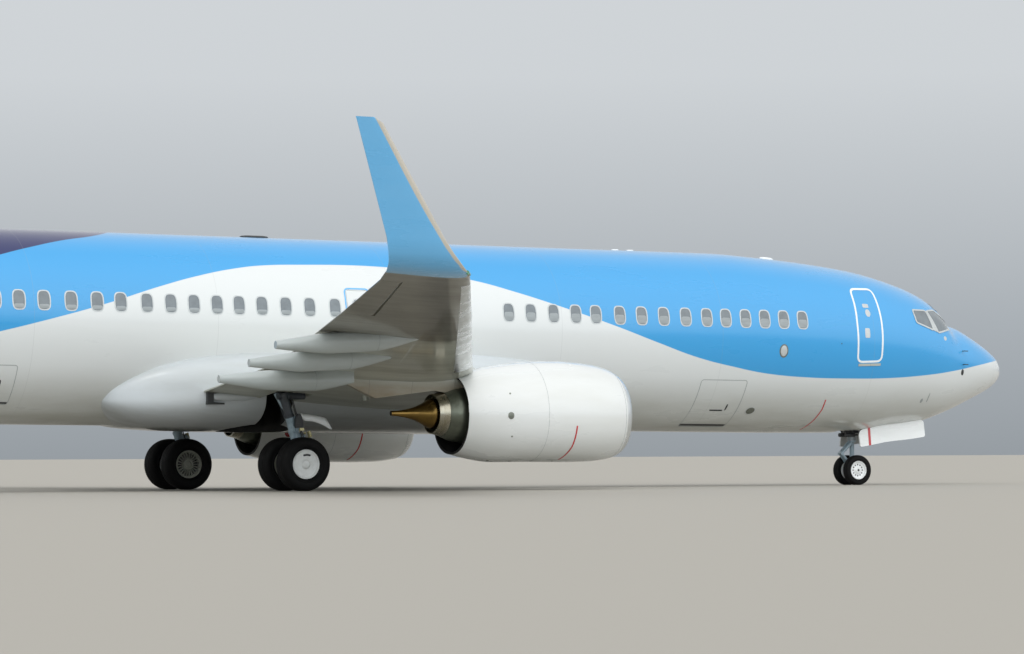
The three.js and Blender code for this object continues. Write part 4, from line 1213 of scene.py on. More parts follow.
def cabin_window(aft: float, up: float, side: Side) -> tuple[Shape, ...]:
    """Draws one cabin window on the skin.

    Args:
        aft: Its middle.
        up: Its middle's height.
        side: The side.

    Returns:
        The rim, the glass and the blind.
    """
    wide, high, band = 0.15, 0.212, 0.03
    corners = [bulged(turn, 0.62) for turn in circle(24)]

    def loop(shrink: float, grow: float) -> list[Vector]:
        """Gives the outline, shrunk and lifted off the skin."""
        wider, higher = wide - shrink, high - shrink
        return [HULL.side(aft + wider * c, up + higher * s, side, grow) for c, s in corners]

    rings = [loop(0.0, SUNK), loop(0.003, 0.004), loop(band - 0.004, 0.005), loop(band, -0.004)]
    rim = skin(rings, capped=False)
    flat = (0.075, 0.11, 0.135)
    rings = [loop(band - 0.002, SUNK), loop(band - 0.002, 0.0015), *(loop(inset, 0.004) for inset in flat)]
    glass = skin(rings)
    drawn = 0.09 if aft < 16 else 0.045  # blinds ahead of the wing are drawn further down
    blind = spot((aft, up - 0.17 + drawn), (wide - band - 0.012, drawn), side, 0.008, 5.0)
    return rim, glass, blind


@dataclass
class CabinWindows:
    """The rows of cabin windows, apart from those in the exits."""

    height: float = 3.82
    first: tuple[float, ...] = (
        6.68, 7.18, 7.68, 8.18, 8.69, 9.18, 9.72, 10.28, 10.84, 11.39, 11.99, 12.49, 13.04, 13.6, 14.14,
        15.18, 15.68, 16.19, 17.22, 18.28, 18.87, 19.42, 19.97, 20.49, 20.99, 21.51, 22.03,
        22.56, 23.14, 23.66, 24.23, 24.82, 25.36, 25.88, 26.4, 26.92, 27.44, 27.96,
    )

    def build(self) -> None:
        """Builds both sides' rims and panes, one piece of each a side."""
        for side in Side:
            parts = zip(*(cabin_window(aft, self.height, side) for aft in self.first))
            finishes = (("rims", RIM_GREY), ("glass", GLASS), ("blinds", BLIND_GREY))
            for shapes, (name, finish) in zip(parts, finishes):
                add_piece(f"cabin_window_{name}_{side.label}", shapes, finish)


@dataclass
class DoorLines:
    """The outlines of the doors and hatches that are drawn on the skin."""

    fore_door: Pairs = (
        (5.113, 4.57), (4.448, 4.585), (4.47, 3.86), (4.5, 2.945), (5.175, 2.915), (5.187, 3.806),
    )
    aft_door: tuple[Pair, Pair] = ((29.0, 2.95), (29.7, 4.6))
    fore_hold: tuple[Pair, Pair] = ((8.0, 1.45), (9.19, 2.46))
    aft_hold: tuple[Pair, Pair] = ((25.3, 1.72), (26.5, 2.5))
    door_lights: tuple[tuple[Pair, Pair, float], ...] = (
        ((4.84, 4.189), (0.085, 0.045), 6.0),
        ((4.823, 4.024), (0.07, 0.085), 2.0),
        ((4.911, 3.571), (0.07, 0.11), 6.0),
    )

    def ports(self) -> None:
        """Adds the small plates, ports and probes round the nose."""
        for side in Side:
            lights = [spot(middle, half, side, 0.004, power) for middle, half, power in self.door_lights]
            lights.append(spot((2.483, 3.509), (0.05, 0.05), side))
            add_piece(f"door_sight_plates_{side.label}", lights, RIM_GREY)
            probes = []
            for aft, up in ((1.896, 3.236), (1.92, 2.925)):
                root, knee = HULL.side(aft, up, side, -0.02), HULL.side(aft, up, side, 0.085)
                path = [root, HULL.side(aft, up, side, 0.06), knee, knee + X_AXIS * 0.09]
                probes.append(rod(path, 0.01, 10))
            probes.append(spot((1.917, 2.749), (0.045, 0.07), side, 0.006))
            probes.append(spot((5.642, 3.317), (0.015, 0.015), side))
            add_piece(f"air_data_probes_{side.label}", probes, DARK_FITTING)
            marks = [spot((2.999, 2.085), (0.035, 0.05), side)]
            marks.append(spot((2.827, 2.157), (0.012, 0.1), side, power=5))
            add_piece(f"nose_drain_plates_{side.label}", marks, JOINT_GREY)
        for name, middle, half, proud, finish in (
            ("service_port_rim", (7.182, 3.125), (0.115, 0.15), 0.005, PORT_METAL),
            ("service_port_lid", (7.182, 3.125), (0.085, 0.12), 0.009, RIM_GREY),
            ("vent_port_rim", (7.637, 1.801), (0.125, 0.085), 0.005, RIM_GREY),
            ("vent_port_grille", (7.637, 1.801), (0.105, 0.07), 0.009, PORT_METAL),
        ):
            add_piece(name, [spot(middle, half, Side.RIGHT, proud)], finish)

    def hold_fittings(self) -> None:
        """Adds the hold doors' handles and sills."""
        for label, (low, high) in (("fore", self.fore_hold), ("aft", self.aft_hold)):
            middle, sill, grip = (low[0] + high[0]) / 2, low[1] + 0.03, low[1] + 0.35
            shapes = [
                ribbon([(low[0] + 0.02, sill), (high[0] - 0.02, sill)], Side.RIGHT, 0.035, 0.006),
                ribbon([(middle + 0.1, grip), (middle - 0.22, grip)], Side.RIGHT, 0.028, 0.006),
                spot((middle - 0.29, low[1] + 0.42), (0.02, 0.07), Side.RIGHT),
            ]
            add_piece(f"{label}_hold_door_handle", shapes, DARK_FITTING)

    def red_line(self) -> None:
        """Draws the warning line across the belly, ahead of the hold."""
        for side in Side:
            path = [(5.786, 2.067), (5.76, 1.841), (5.79, 1.62), (5.83, 1.48), (5.85, 1.4)]
            add_piece(f"belly_warning_line_{side.label}", [ribbon(path, side, 0.03)], OUTLINE_RED)

    def build(self) -> None:
        """Builds every outline."""
        for side in Side:
            paths = [softened(list(self.fore_door), 0.14), rounded(*self.aft_door, 0.09)]
            shapes = [ribbon(path, side, 0.046, closed=True) for path in paths]
            add_piece(f"door_outlines_{side.label}", shapes, OUTLINE_WHITE)
            sills = [
                ribbon([(4.52, 2.872), (5.14, 2.85)], side, 0.055, 0.012),
                ribbon([(28.96, 2.87), (29.74, 2.87)], side, 0.07, 0.012),
            ]
            add_piece(f"door_sills_{side.label}", sills, CANOE_GREY)
        paths = [rounded(*hold, 0.06) for hold in (self.fore_hold, self.aft_hold)]
        holds = [ribbon(path, Side.RIGHT, 0.014, 0.002, closed=True) for path in paths]
        add_piece("hold_door_lines", holds, JOINT_GREY)
        self.ports()
        self.hold_fittings()
        self.red_line()


@dataclass
class CrownAntennas:
    """The low covers over the antennas on the fuselage's back.

    Attributes:
        covers: Each one's place in metres aft, half length, half width and height.
    """

    covers: Rows = (
        (6.48, 0.18, 0.1, 0.045), (10.06, 0.09, 0.06, 0.022), (10.44, 0.09, 0.06, 0.022),
        (19.29, 0.33, 0.18, 0.04),
    )

    def build(self) -> None:
        """Builds each cover: white ones in front and a dark one over the wing."""
        shapes = []
        for aft, half, wide, high in self.covers:
            rings = []
            for shrink, share in ((1.0, -0.4), (0.98, 0.4), (0.88, 0.8), (0.66, 1.0)):
                spots = [(aft + half * shrink * math.cos(t), wide * shrink * math.sin(t)) for t in circle(24)]
                rings.append([HULL.over(*place, high * share) for place in spots])
            shapes.append(skin(rings))
        add_piece("crown_antenna_covers", shapes[:-1], OUTLINE_WHITE)
        add_piece("crown_antenna_blister", [shapes[-1]], DARK_FITTING)


@dataclass
class FlightDeckPanes:
    """The flight deck's windows with their frames.

    Attributes:
        side_panes: Corners as metres aft and height, from the upper rear corner forward.
        front_pane: Corners as metres aft and distance out.
    """

    side_panes: tuple[Pairs, ...] = (
        ((3.389, 4.145), (2.93, 4.14), (2.85, 3.69), (3.372, 3.854)),
        ((2.88, 4.137), (2.563, 4.163), (2.02, 3.77), (2.695, 3.634)),
    )
    post: Pairs = ((2.94, 4.14), (2.87, 4.137), (2.685, 3.634), (2.86, 3.69))
    front_pane: Pairs = ((2.46, 0.8), (2.34, 0.05), (1.99, 0.05), (1.98, 0.66))

    def build(self) -> None:
        """Builds the panes and frames of both sides."""
        for side in Side:
            glass, frames = [], []
            for corners in self.side_panes:
                glass.append(sheet(corners, lambda spot: HULL.side(spot.x, spot.y, side, 0.006)))
                frames.append(ribbon(softened(list(corners), 0.05, 3), side, 0.036, 0.012, closed=True))
            frames.append(sheet(self.post, lambda spot: HULL.side(spot.x, spot.y, side, 0.01)))
            front = sheet(self.front_pane, lambda spot: HULL.over(spot.x, side.value * spot.y, 0.006))
            glass.append(front)
            add_piece(f"flight_deck_glass_{side.label}", glass, GLASS)
            add_piece(f"flight_deck_frames_{side.label}", frames, RIM_GREY)


@dataclass
class BellyFairing:
    """The wing-to-body fairing.

    Attributes:
        rows: Metres aft, half width, bottom and top.
        slot_rear: Metres aft where its slots for the legs end.
        upper_power: How square its section is above.
        lower_power: How square it is below.
    """

    rows: Rows = (
        (12.3, 1.5, 1.75, 2.65), (12.9, 1.8, 1.5, 2.86), (14.0, 2.02, 1.26, 3.0), (15.5, 2.12, 1.22, 3.04),
        (20.0, 2.12, 1.22, 2.97), (21.2, 2.07, 1.23, 2.87), (22.1, 1.92, 1.27, 2.7), (22.65, 1.72, 1.36, 2.5),
        (23.0, 1.52, 1.5, 2.3), (23.2, 1.33, 1.63, 2.13), (23.3, 1.12, 1.78, 2.0),
    )
    slot_rear: float = 19.98
    upper_power: float = 4.5
    lower_power: float = 2.8
    facets: int = 96

    def ring(self, aft: float) -> list[Vector]:
        """Gives the ring at a station."""
        half, bottom, top = SmoothTable(self.rows).at(aft)
        middle = bottom + (top - bottom) * 0.47
        ring = []
        for turn in circle(self.facets):
            upper = math.sin(turn) > 0
            c, s = bulged(turn, 2 / (self.upper_power if upper else self.lower_power))
            ring.append(level(aft, half * c, middle + (top - middle if upper else middle - bottom) * s))
        return ring

    def build(self, wells: list[Shape]) -> None:
        """Builds the fairing, with the wells cut out."""
        places = [12.3]
        for end, step in ((15.5, 0.16), (20.0, 0.5), (23.0, 0.15), (23.3, 0.05)):
            places += spread(places[-1], end, step)[1:]
        piece = add_piece("belly_fairing_skin", [skin([self.ring(aft) for aft in places])], FAIRING_WHITE)
        cut_away(piece, wells)
        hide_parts("belly_fairing")
        beacon = [level(18.45, 0, up) for up in (1.235, 1.21, 1.175, 1.145, 1.13)]
        add_piece("belly_beacon", [rod(beacon, [0.085, 0.08, 0.072, 0.05, 0.02], 28)], RED_LENS)


@dataclass
class Wings:
    """The wings with their slats, flaps, ailerons and winglets."""

    grey: tuple[str, ...] = ("wing", "flap_inboard", "flap_outboard", "aileron")
    canoes: Rows = (
        (5.62, 19.75, 22.7, 2.18, 2.2), (7.9, 20.1, 23.13, 2.6, 2.455), (10.2, 20.7, 23.68, 2.9, 2.73),
    )
    canoe_shape: Rows = (
        (0.0, 0.24, 0.01, 0.03), (0.08, 0.3, 0.07, 0.08), (0.2, 0.3, 0.15, 0.14), (0.3, 0.2, 0.19, 0.17),
        (0.6, 0.19, 0.2, 0.17), (0.85, 0.12, 0.13, 0.12), (1.0, 0.07, 0.07, 0.06),
    )
    canoe_parts: tuple[tuple[str, float, Pair, Finish], ...] = (
        ("fairings", 0.005, (0.0, 1.0), TRACK_GREY), ("joints", 0.007, (0.3, 0.304), JOINT_GREY),
    )

    def canoe(self, side: Side, place: tuple[float, ...], grow: float, span: Pair) -> Shape:
        """Shapes part of a flap track fairing.

        Args:
            side: The side.
            place: Its distance out, its ends in metres aft and their heights.
            grow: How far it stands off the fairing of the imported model.
            span: The part's ends, as shares of the fairing's length.

        Returns:
            The shape.
        """
        out, front, rear, front_up, rear_up = place
        table, rings = SmoothTable(self.canoe_shape), []
        for share in spread(span[0], span[1], 0.02):
            rise, drop, wide = (value + grow for value in table.at(share))
            aft, up, ring = front + (rear - front) * share, front_up + (rear_up - front_up) * share, []
            for turn in circle(40):
                high = (rise if math.sin(turn) > 0 else drop) * math.sin(turn)
                ring.append(level(aft, side.value * (out + wide * math.cos(turn)), up + high))
            rings.append(ring)
        return skin(rings)

    def build(self) -> None:
        """Dresses each part of both wings."""
        for side in Side:
            label = side.label
            for node in self.grey:
                dressed_copy(f"{node}_{label}", WING_GREY)
            dressed_copy(f"slat_{label}", POLISHED)
            dressed_copy(f"winglet_{label}", LIGHT_BLUE)
            ends = [level(23.3, side.value * 17.03, 3.772), level(23.45, side.value * 17.23, 3.8)]
            lens = RED_LENS if side is Side.LEFT else GREEN_LENS
            add_piece(f"wingtip_lamp_{label}", [rod(ends, [0.03, 0.035])], lens)
            for name, grow, span, finish in self.canoe_parts:
                shapes = [self.canoe(side, place, grow, span) for place in self.canoes]
                add_piece(f"flap_track_{name}_{label}", shapes, finish, sharp=30)
            # A thin dark plate paints the shadow gap round the inboard flap's end.
            end = [
                (21.32, 2.035), (21.32, 1.758), (20.94, 1.763), (20.94, 1.8), (21.185, 1.81), (21.185, 1.985),
                (20.75, 2.02), (20.75, 2.07),
            ]
            plate = skin([[level(aft, side.value * out, up) for aft, up in end] for out in (1.98, 2.14)])
            add_piece(f"flap_end_seal_{label}", [plate], DARK_FITTING)
            tube = [level(aft, side.value * 2.08, 1.925) for aft in (21.2, 21.17, 21.1, 20.5, 20.2)]
            fairing = rod(tube, [0.03, 0.07, 0.09, 0.09, 0.05], 28)
            add_piece(f"flap_end_fairing_{label}", [fairing], FAIRING_WHITE)


@dataclass
class Tail:
    """The fin, rudder, tailplanes and elevators."""

    def build(self) -> None:
        """Dresses each part."""
        for node in ("fin", "rudder"):
            dressed_copy(node, NAVY)
        for side in Side:
            for node in ("tailplane", "elevator"):
                dressed_copy(f"{node}_{side.label}", COWL_WHITE)


@dataclass
class Engine:
    """One engine: cowling, core, nozzle, plug, fan and pylon.

    Attributes:
        side: The side that it hangs on.
        out: Its axis's distance from the middle.
        up: Its axis's height.
        lip: Metres aft where the lip's bare metal ends.
        lining: Where the duct's lining starts.
        fan_face: Where the duct's black painted shade starts.
        outside: Metres aft, top, bottom and half width of the cowling, from front to rear.
        inside: Metres aft, radius and drop of its duct, from rear to front.
    """

    side: Side
    out: float = 4.83
    up: float = 1.58
    facets: int = 96
    lip: float = 13.46
    lining: float = 13.5
    fan_face: float = 14.3
    outside: Rows = (
        (13.3, 2.37, 0.82, 0.785), (13.36, 2.45, 0.755, 0.86), (13.6, 2.57, 0.68, 0.96),
        (14.0, 2.65, 0.635, 1.03), (14.7, 2.7, 0.62, 1.07), (15.4, 2.68, 0.62, 1.06),
        (16.2, 2.58, 0.61, 0.99), (16.7, 2.48, 0.67, 0.89), (17.12, 2.37, 0.76, 0.785),
    )
    inside: tuple[Point, ...] = (
        (17.12, 0.765, 0.015), (16.3, 0.86, 0.0), (15.0, 0.83, 0.0), (14.45, 0.79, 0.0), (13.95, 0.785, 0.0),
        (13.55, 0.74, 0.0), (13.35, 0.75, 0.0),
    )
    core: Pairs = (
        (14.42, 0.3), (14.9, 0.42), (15.5, 0.56), (16.4, 0.62), (17.1, 0.55), (17.36, 0.455),
    )
    nozzle: Pairs = ((17.36, 0.45), (17.58, 0.405), (17.58, 0.385), (17.36, 0.4))
    plug: Pairs = (
        (17.36, 0.31), (17.62, 0.3), (17.78, 0.215), (18.0, 0.125), (18.3, 0.065), (18.5, 0.05),
    )
    lower_power: float = 2.25

    def axis_point(self, aft: float) -> Vector:
        """Gives a point of the engine's axis."""
        return level(aft, self.side.value * self.out, self.up)

    def cowl_rings(self) -> list[list[Vector]]:
        """Gives the cowling's rings, outside from rear to front and then inside from front to rear."""
        rows = [(*row, self.lower_power) for row in reversed(self.outside)]
        for aft, radius, drop in reversed(self.inside):
            rows.append((aft, self.up - drop + radius, self.up - drop - radius, radius, 2.0))
        reach, table = 0.0, []
        for i, row in enumerate(rows):
            if i:
                reach += math.hypot(row[0] - rows[i - 1][0], row[1] - rows[i - 1][1])
            table.append((reach, *row))
        smooth = SmoothTable(tuple(table))
        places: list[float] = []
        for (a, *_), (b, *_) in zip(table, table[1:]):
            places += spread(a, b, 0.05 if b - a < 0.3 else 0.11)[:-1]
        rings = []
        for place in [*places, reach]:
            aft, top, bottom, half, power = smooth.at(place)
            ring = []
            for turn in circle(self.facets, 0.5):
                upper = math.sin(turn) > 0
                c, s = bulged(turn, 2 / (2.0 if upper else power))
                height = self.up + (top - self.up if upper else self.up - bottom) * s
                ring.append(level(aft, self.side.value * self.out + half * c, height))
            rings.append(ring)
        return rings

    def cowl_point(self, aft: float, turn: float, grow: float) -> Vector:
        """Gives a point on the cowling's outside, at an angle up from the outboard side."""
        top, bottom, half = SmoothTable(self.outside).at(aft)
        upper = math.sin(turn) > 0
        c, s = bulged(turn, 2 / (2.0 if upper else self.lower_power))
        rise = (top - self.up if upper else self.up - bottom) + grow
        return level(aft, self.side.value * (self.out + (half + grow) * c), self.up + rise * s)

    def cowl_line(self, path: list[Pair], wide: float, proud: float = 0.005) -> Shape:
        """Lays a thin strip on the cowling, along pairs of metres aft and degrees."""
        rings = []
        for (aft, low), (aft_next, high) in zip(path, path[1:]):
            for k in range(13):
                place, turn = aft + (aft_next - aft) * k / 12, math.radians(low + (high - low) * k / 12)
                edges = ((place, SUNK), (place, proud), (place + wide, proud), (place + wide, SUNK))
                rings.append([self.cowl_point(a, turn, grow) for a, grow in edges])
        return skin(rings)

    def cowl_dot(self, aft: float, degrees: float, radius: float) -> Shape:
        """Lays a small round plate on the outboard side of the cowling."""
        rings = []
        for shrink, grow in ((1.0, SUNK), (1.0, 0.004), (0.8, 0.007)):
            ring = []
            for turn in circle(16):
                lift = math.degrees(shrink * radius * math.sin(turn) / 1.05)
                place = aft + shrink * radius * math.cos(turn)
                ring.append(self.cowl_point(place, math.radians(degrees + lift), grow))
            rings.append(ring)
        return skin(rings)

    def cowl_details(self) -> None:
        """Adds the cowling's joints, latches and warning line."""
        label = self.side.label
        joints = [
            self.cowl_line([(15.41, -84), (15.41, 0), (15.41, 84)], 0.005, 0.003),
            self.cowl_line([(15.41, 96), (15.41, 180), (15.41, 264)], 0.005, 0.003),
            self.cowl_line([(13.52, -90), (13.52, 0), (13.52, 90), (13.52, 180), (13.52, 270)], 0.007, 0.003),
        ]
        add_piece(f"cowl_joints_{label}", joints, JOINT_GREY)
        lines = [
            self.cowl_line([(14.74, turn), (14.75, (turn + end) / 2), (14.82, end)], 0.03)
            for turn, end in ((-11, -70), (191, 250))
        ]
        add_piece(f"cowl_warning_lines_{label}", lines, OUTLINE_RED)
        places = ((16.26, -1, 0.065), (16.24, 25, 0.02), (16.2, -25, 0.02))
        dots = [self.cowl_dot(*place) for place in places]
        dots += [self.cowl_dot(14.9 + 0.5 * k, -78, 0.03) for k in range(4)]
        add_piece(f"cowl_latches_{label}", dots, PORT_METAL)

    def lathe(self, profile: Pairs, step: float, closed: bool = False) -> Shape:
        """Turns a profile of metres aft and radius about the axis, smoothed when it is open."""
        if not closed:
            smooth = SmoothTable(profile)
            profile = tuple((aft, *smooth.at(aft)) for aft in spread(profile[0][0], profile[-1][0], step))
        turns = [(-aft, radius) for aft, radius in profile]
        return turned(turns, self.axis_point(0.0), X_AXIS, self.facets, closed)

    def build(self) -> None:
        """Builds every part of the engine."""
        label = self.side.label
        cowl = add_piece(f"nacelle_{label}_skin", [skin(self.cowl_rings(), closed=True)], COWL_WHITE)
        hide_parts(f"nacelle_{label}")
        table, middle = SmoothTable(self.outside), self.axis_point(0.0)

        def lined(place: Vector) -> bool:
            """Says whether a place is on the duct's wall rather than outside."""
            top, bottom, half = table.at(MAIN_GEAR - place.x)
            rise = top - self.up if place.z > self.up else self.up - bottom
            power = 2.0 if place.z > self.up else self.lower_power
            across, high = abs(place.y - middle.y) / half, abs(place.z - self.up) / rise
            return across**power + high**power < 0.972

        # The duct behind the fan is painted black as its shade.
        paint_part(cowl, SHADE_BLACK, lambda p: MAIN_GEAR - p.x > self.fan_face and lined(p))
        paint_part(cowl, JOINT_GREY, lambda p: self.lining < MAIN_GEAR - p.x <= self.fan_face and lined(p))
        paint_part(cowl, POLISHED, lambda p: MAIN_GEAR - p.x < self.lip)
        self.cowl_details()
        dressed_copy(f"engine_core_{label}", CORE_METAL)
        cone = self.lathe(tuple((aft, radius + 0.004) for aft, radius in self.core if aft > 15.0), 0.05)
        add_piece(f"core_cowling_{label}", [cone], CORE_METAL)
        nozzle = add_piece(f"exhaust_nozzle_{label}_ring", [self.lathe(self.nozzle, 0.05, True)], TITANIUM)
        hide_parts(f"exhaust_nozzle_{label}")
        plug = add_piece(f"exhaust_plug_{label}_cone", [self.lathe(self.plug, 0.05)], SCORCHED)
        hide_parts(f"exhaust_plug_{label}")
        # The drain is a flat black disc, painted shade for the hole.
        drain = rod([self.axis_point(18.48), self.axis_point(18.503)], 0.043, 24)
        add_piece(f"exhaust_plug_{label}_drain", [drain], SHADE_BLACK)
        dressed_copy(f"fan_{label}", BLADE_METAL)
        dressed_copy(f"pylon_{label}", CANOE_GREY)


@dataclass
class Tyre:
    """A tyre's section, turned about its axle.

    Attributes:
        radius: Of the tread.
        width: Across the sidewalls.
        rim: Radius of its bead.
    """

    radius: float
    width: float
    rim: float

    def section(self) -> list[Pair]:
        """Gives the closed outline, as pairs of distance along the axle and radius."""
        half, tall = self.width / 2, self.radius - self.rim
        outline = [
            (-0.62, 0.0), (-0.78, 0.05), (-0.88, 0.16), (-0.93, 0.24), (-0.975, 0.26), (-0.975, 0.3),
            (-0.955, 0.32), (-1.0, 0.47), (-0.97, 0.66), (-0.86, 0.85), (-0.7, 0.95),
        ]
        tread = [
            (-0.5, 0.985), (-0.47, 0.955), (-0.44, 0.955), (-0.41, 0.992), (-0.2, 1.0), (-0.17, 0.962),
            (-0.13, 0.962), (-0.1, 1.0),
        ]
        left = outline + tread
        both = left + [(-a, b) for a, b in reversed(left)]
        return [(a * half, self.rim + b * tall) for a, b in both]

    def build(self, node: str, axle: Vector, body: str) -> None:
        """Builds the tyre that stands in for a node.

        Args:
            node: The node.
            axle: The tyre's middle, in the row frame.
            body: The body that it turns with.
        """
        shape = turned(self.section(), Vector(), Y_AXIS, 96, closed=True)
        piece = add_piece(f"{node}_rubber", [shape], TYRE_RUBBER, body, 50, Matrix.Translation(axle))
        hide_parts(node)


@dataclass
class Wheel:
    """A wheel under its tyre.

    Attributes:
        rim: Radius under the tyre.
        half: Half its width.
        axle: Radius of its axle.
        barrel: Its rear face and tyre seat, as pairs of depth and radius in shares of half and rim.
    """

    rim: float
    half: float
    axle: float
    barrel: Pairs = ((-1, 0.2), (-1, 0.5), (-0.6, 0.56), (-0.6, 0.86), (-1, 0.93), (-1, 0.999), (1, 0.999))

    def lathed(self, profile: list[Pair], middle: float, facing: int) -> Shape:
        """Turns a profile of depth and radius, in shares of the wheel's own sizes."""
        deep = facing * self.half
        turns = [(middle + depth * deep, max(0.003, radius * self.rim)) for depth, radius in profile]
        return turned(turns, Vector(), Y_AXIS, 72)

    def capped(self, middle: float, facing: int) -> Shape:
        """Makes a wheel whose outer face is closed by a dished cap with a raised middle."""
        profile = [
            *self.barrel, (1, 0.955), (0.93, 0.935), (0.85, 0.9), (0.9, 0.86), (0.88, 0.6), (0.86, 0.34),
            (0.93, 0.3), (1.02, 0.25), (1.06, 0.14), (1.06, 0.0),
        ]
        return self.lathed(profile, middle, facing)

    def slotted(self, middle: float, facing: int, count: int = 22) -> tuple[Shape, Shape]:
        """Makes an open wheel: its rim and hub, and the webs between its cooling slots."""
        profile = [
            *self.barrel, (1, 0.93), (0.86, 0.9), (0.8, 0.84), (0.3, 0.82), (0.3, 0.44), (0.8, 0.4),
            (0.86, 0.24), (0.7, 0.2), (0.7, 0.0),
        ]
        webs = []
        for turn in circle(count):
            c, s = math.cos(turn), math.sin(turn)
            along, across = Vector((c, 0, s)), Vector((-s, 0, c))
            rings = []
            for share in (0.38, 0.85):
                half = self.rim * (0.008 + 0.032 * share)
                depths = [middle + facing * self.half * depth for depth in (0.25, 0.74)]
                corners = ((-1, depths[0]), (-1, depths[1]), (1, depths[1]), (1, depths[0]))
                middles = along * self.rim * share
                rings.append([middles + across * sign * half + Y_AXIS * depth for sign, depth in corners])
            webs.append(skin(rings))
        return self.lathed(profile, middle, facing), merged(webs)

    def dished(self, middle: float, facing: int) -> Shape:
        """Makes a wheel with a deep dish between its rim and its hub."""
        profile = [
            (-1, 0.25), (-0.5, 0.5), (-0.5, 0.86), (-1, 0.95), (-1, 0.999), (1, 0.999), (1, 0.95),
            (0.85, 0.91), (0.5, 0.84), (0.35, 0.7), (0.35, 0.5), (0.6, 0.36), (0.85, 0.27), (0.85, 0.0),
        ]
        return self.lathed(profile, middle, facing)

    def discs(self, places: list[tuple[float, float, float, float]]) -> Shape:
        """Makes small flat discs on a face: distance along the axle, forward, up and radius."""
        shapes = []
        for out, forward, up, radius in places:
            ends = [Vector((forward, out - 0.004, up)), Vector((forward, out + 0.004, up))]
            shapes.append(rod(ends, radius, 16))
        return merged(shapes)


def on_foot(place: Vector) -> Matrix:
    """Gives the matrix that stands a leg on the ground under its axle."""
    return Matrix.Translation((place.x, place.y, 0))


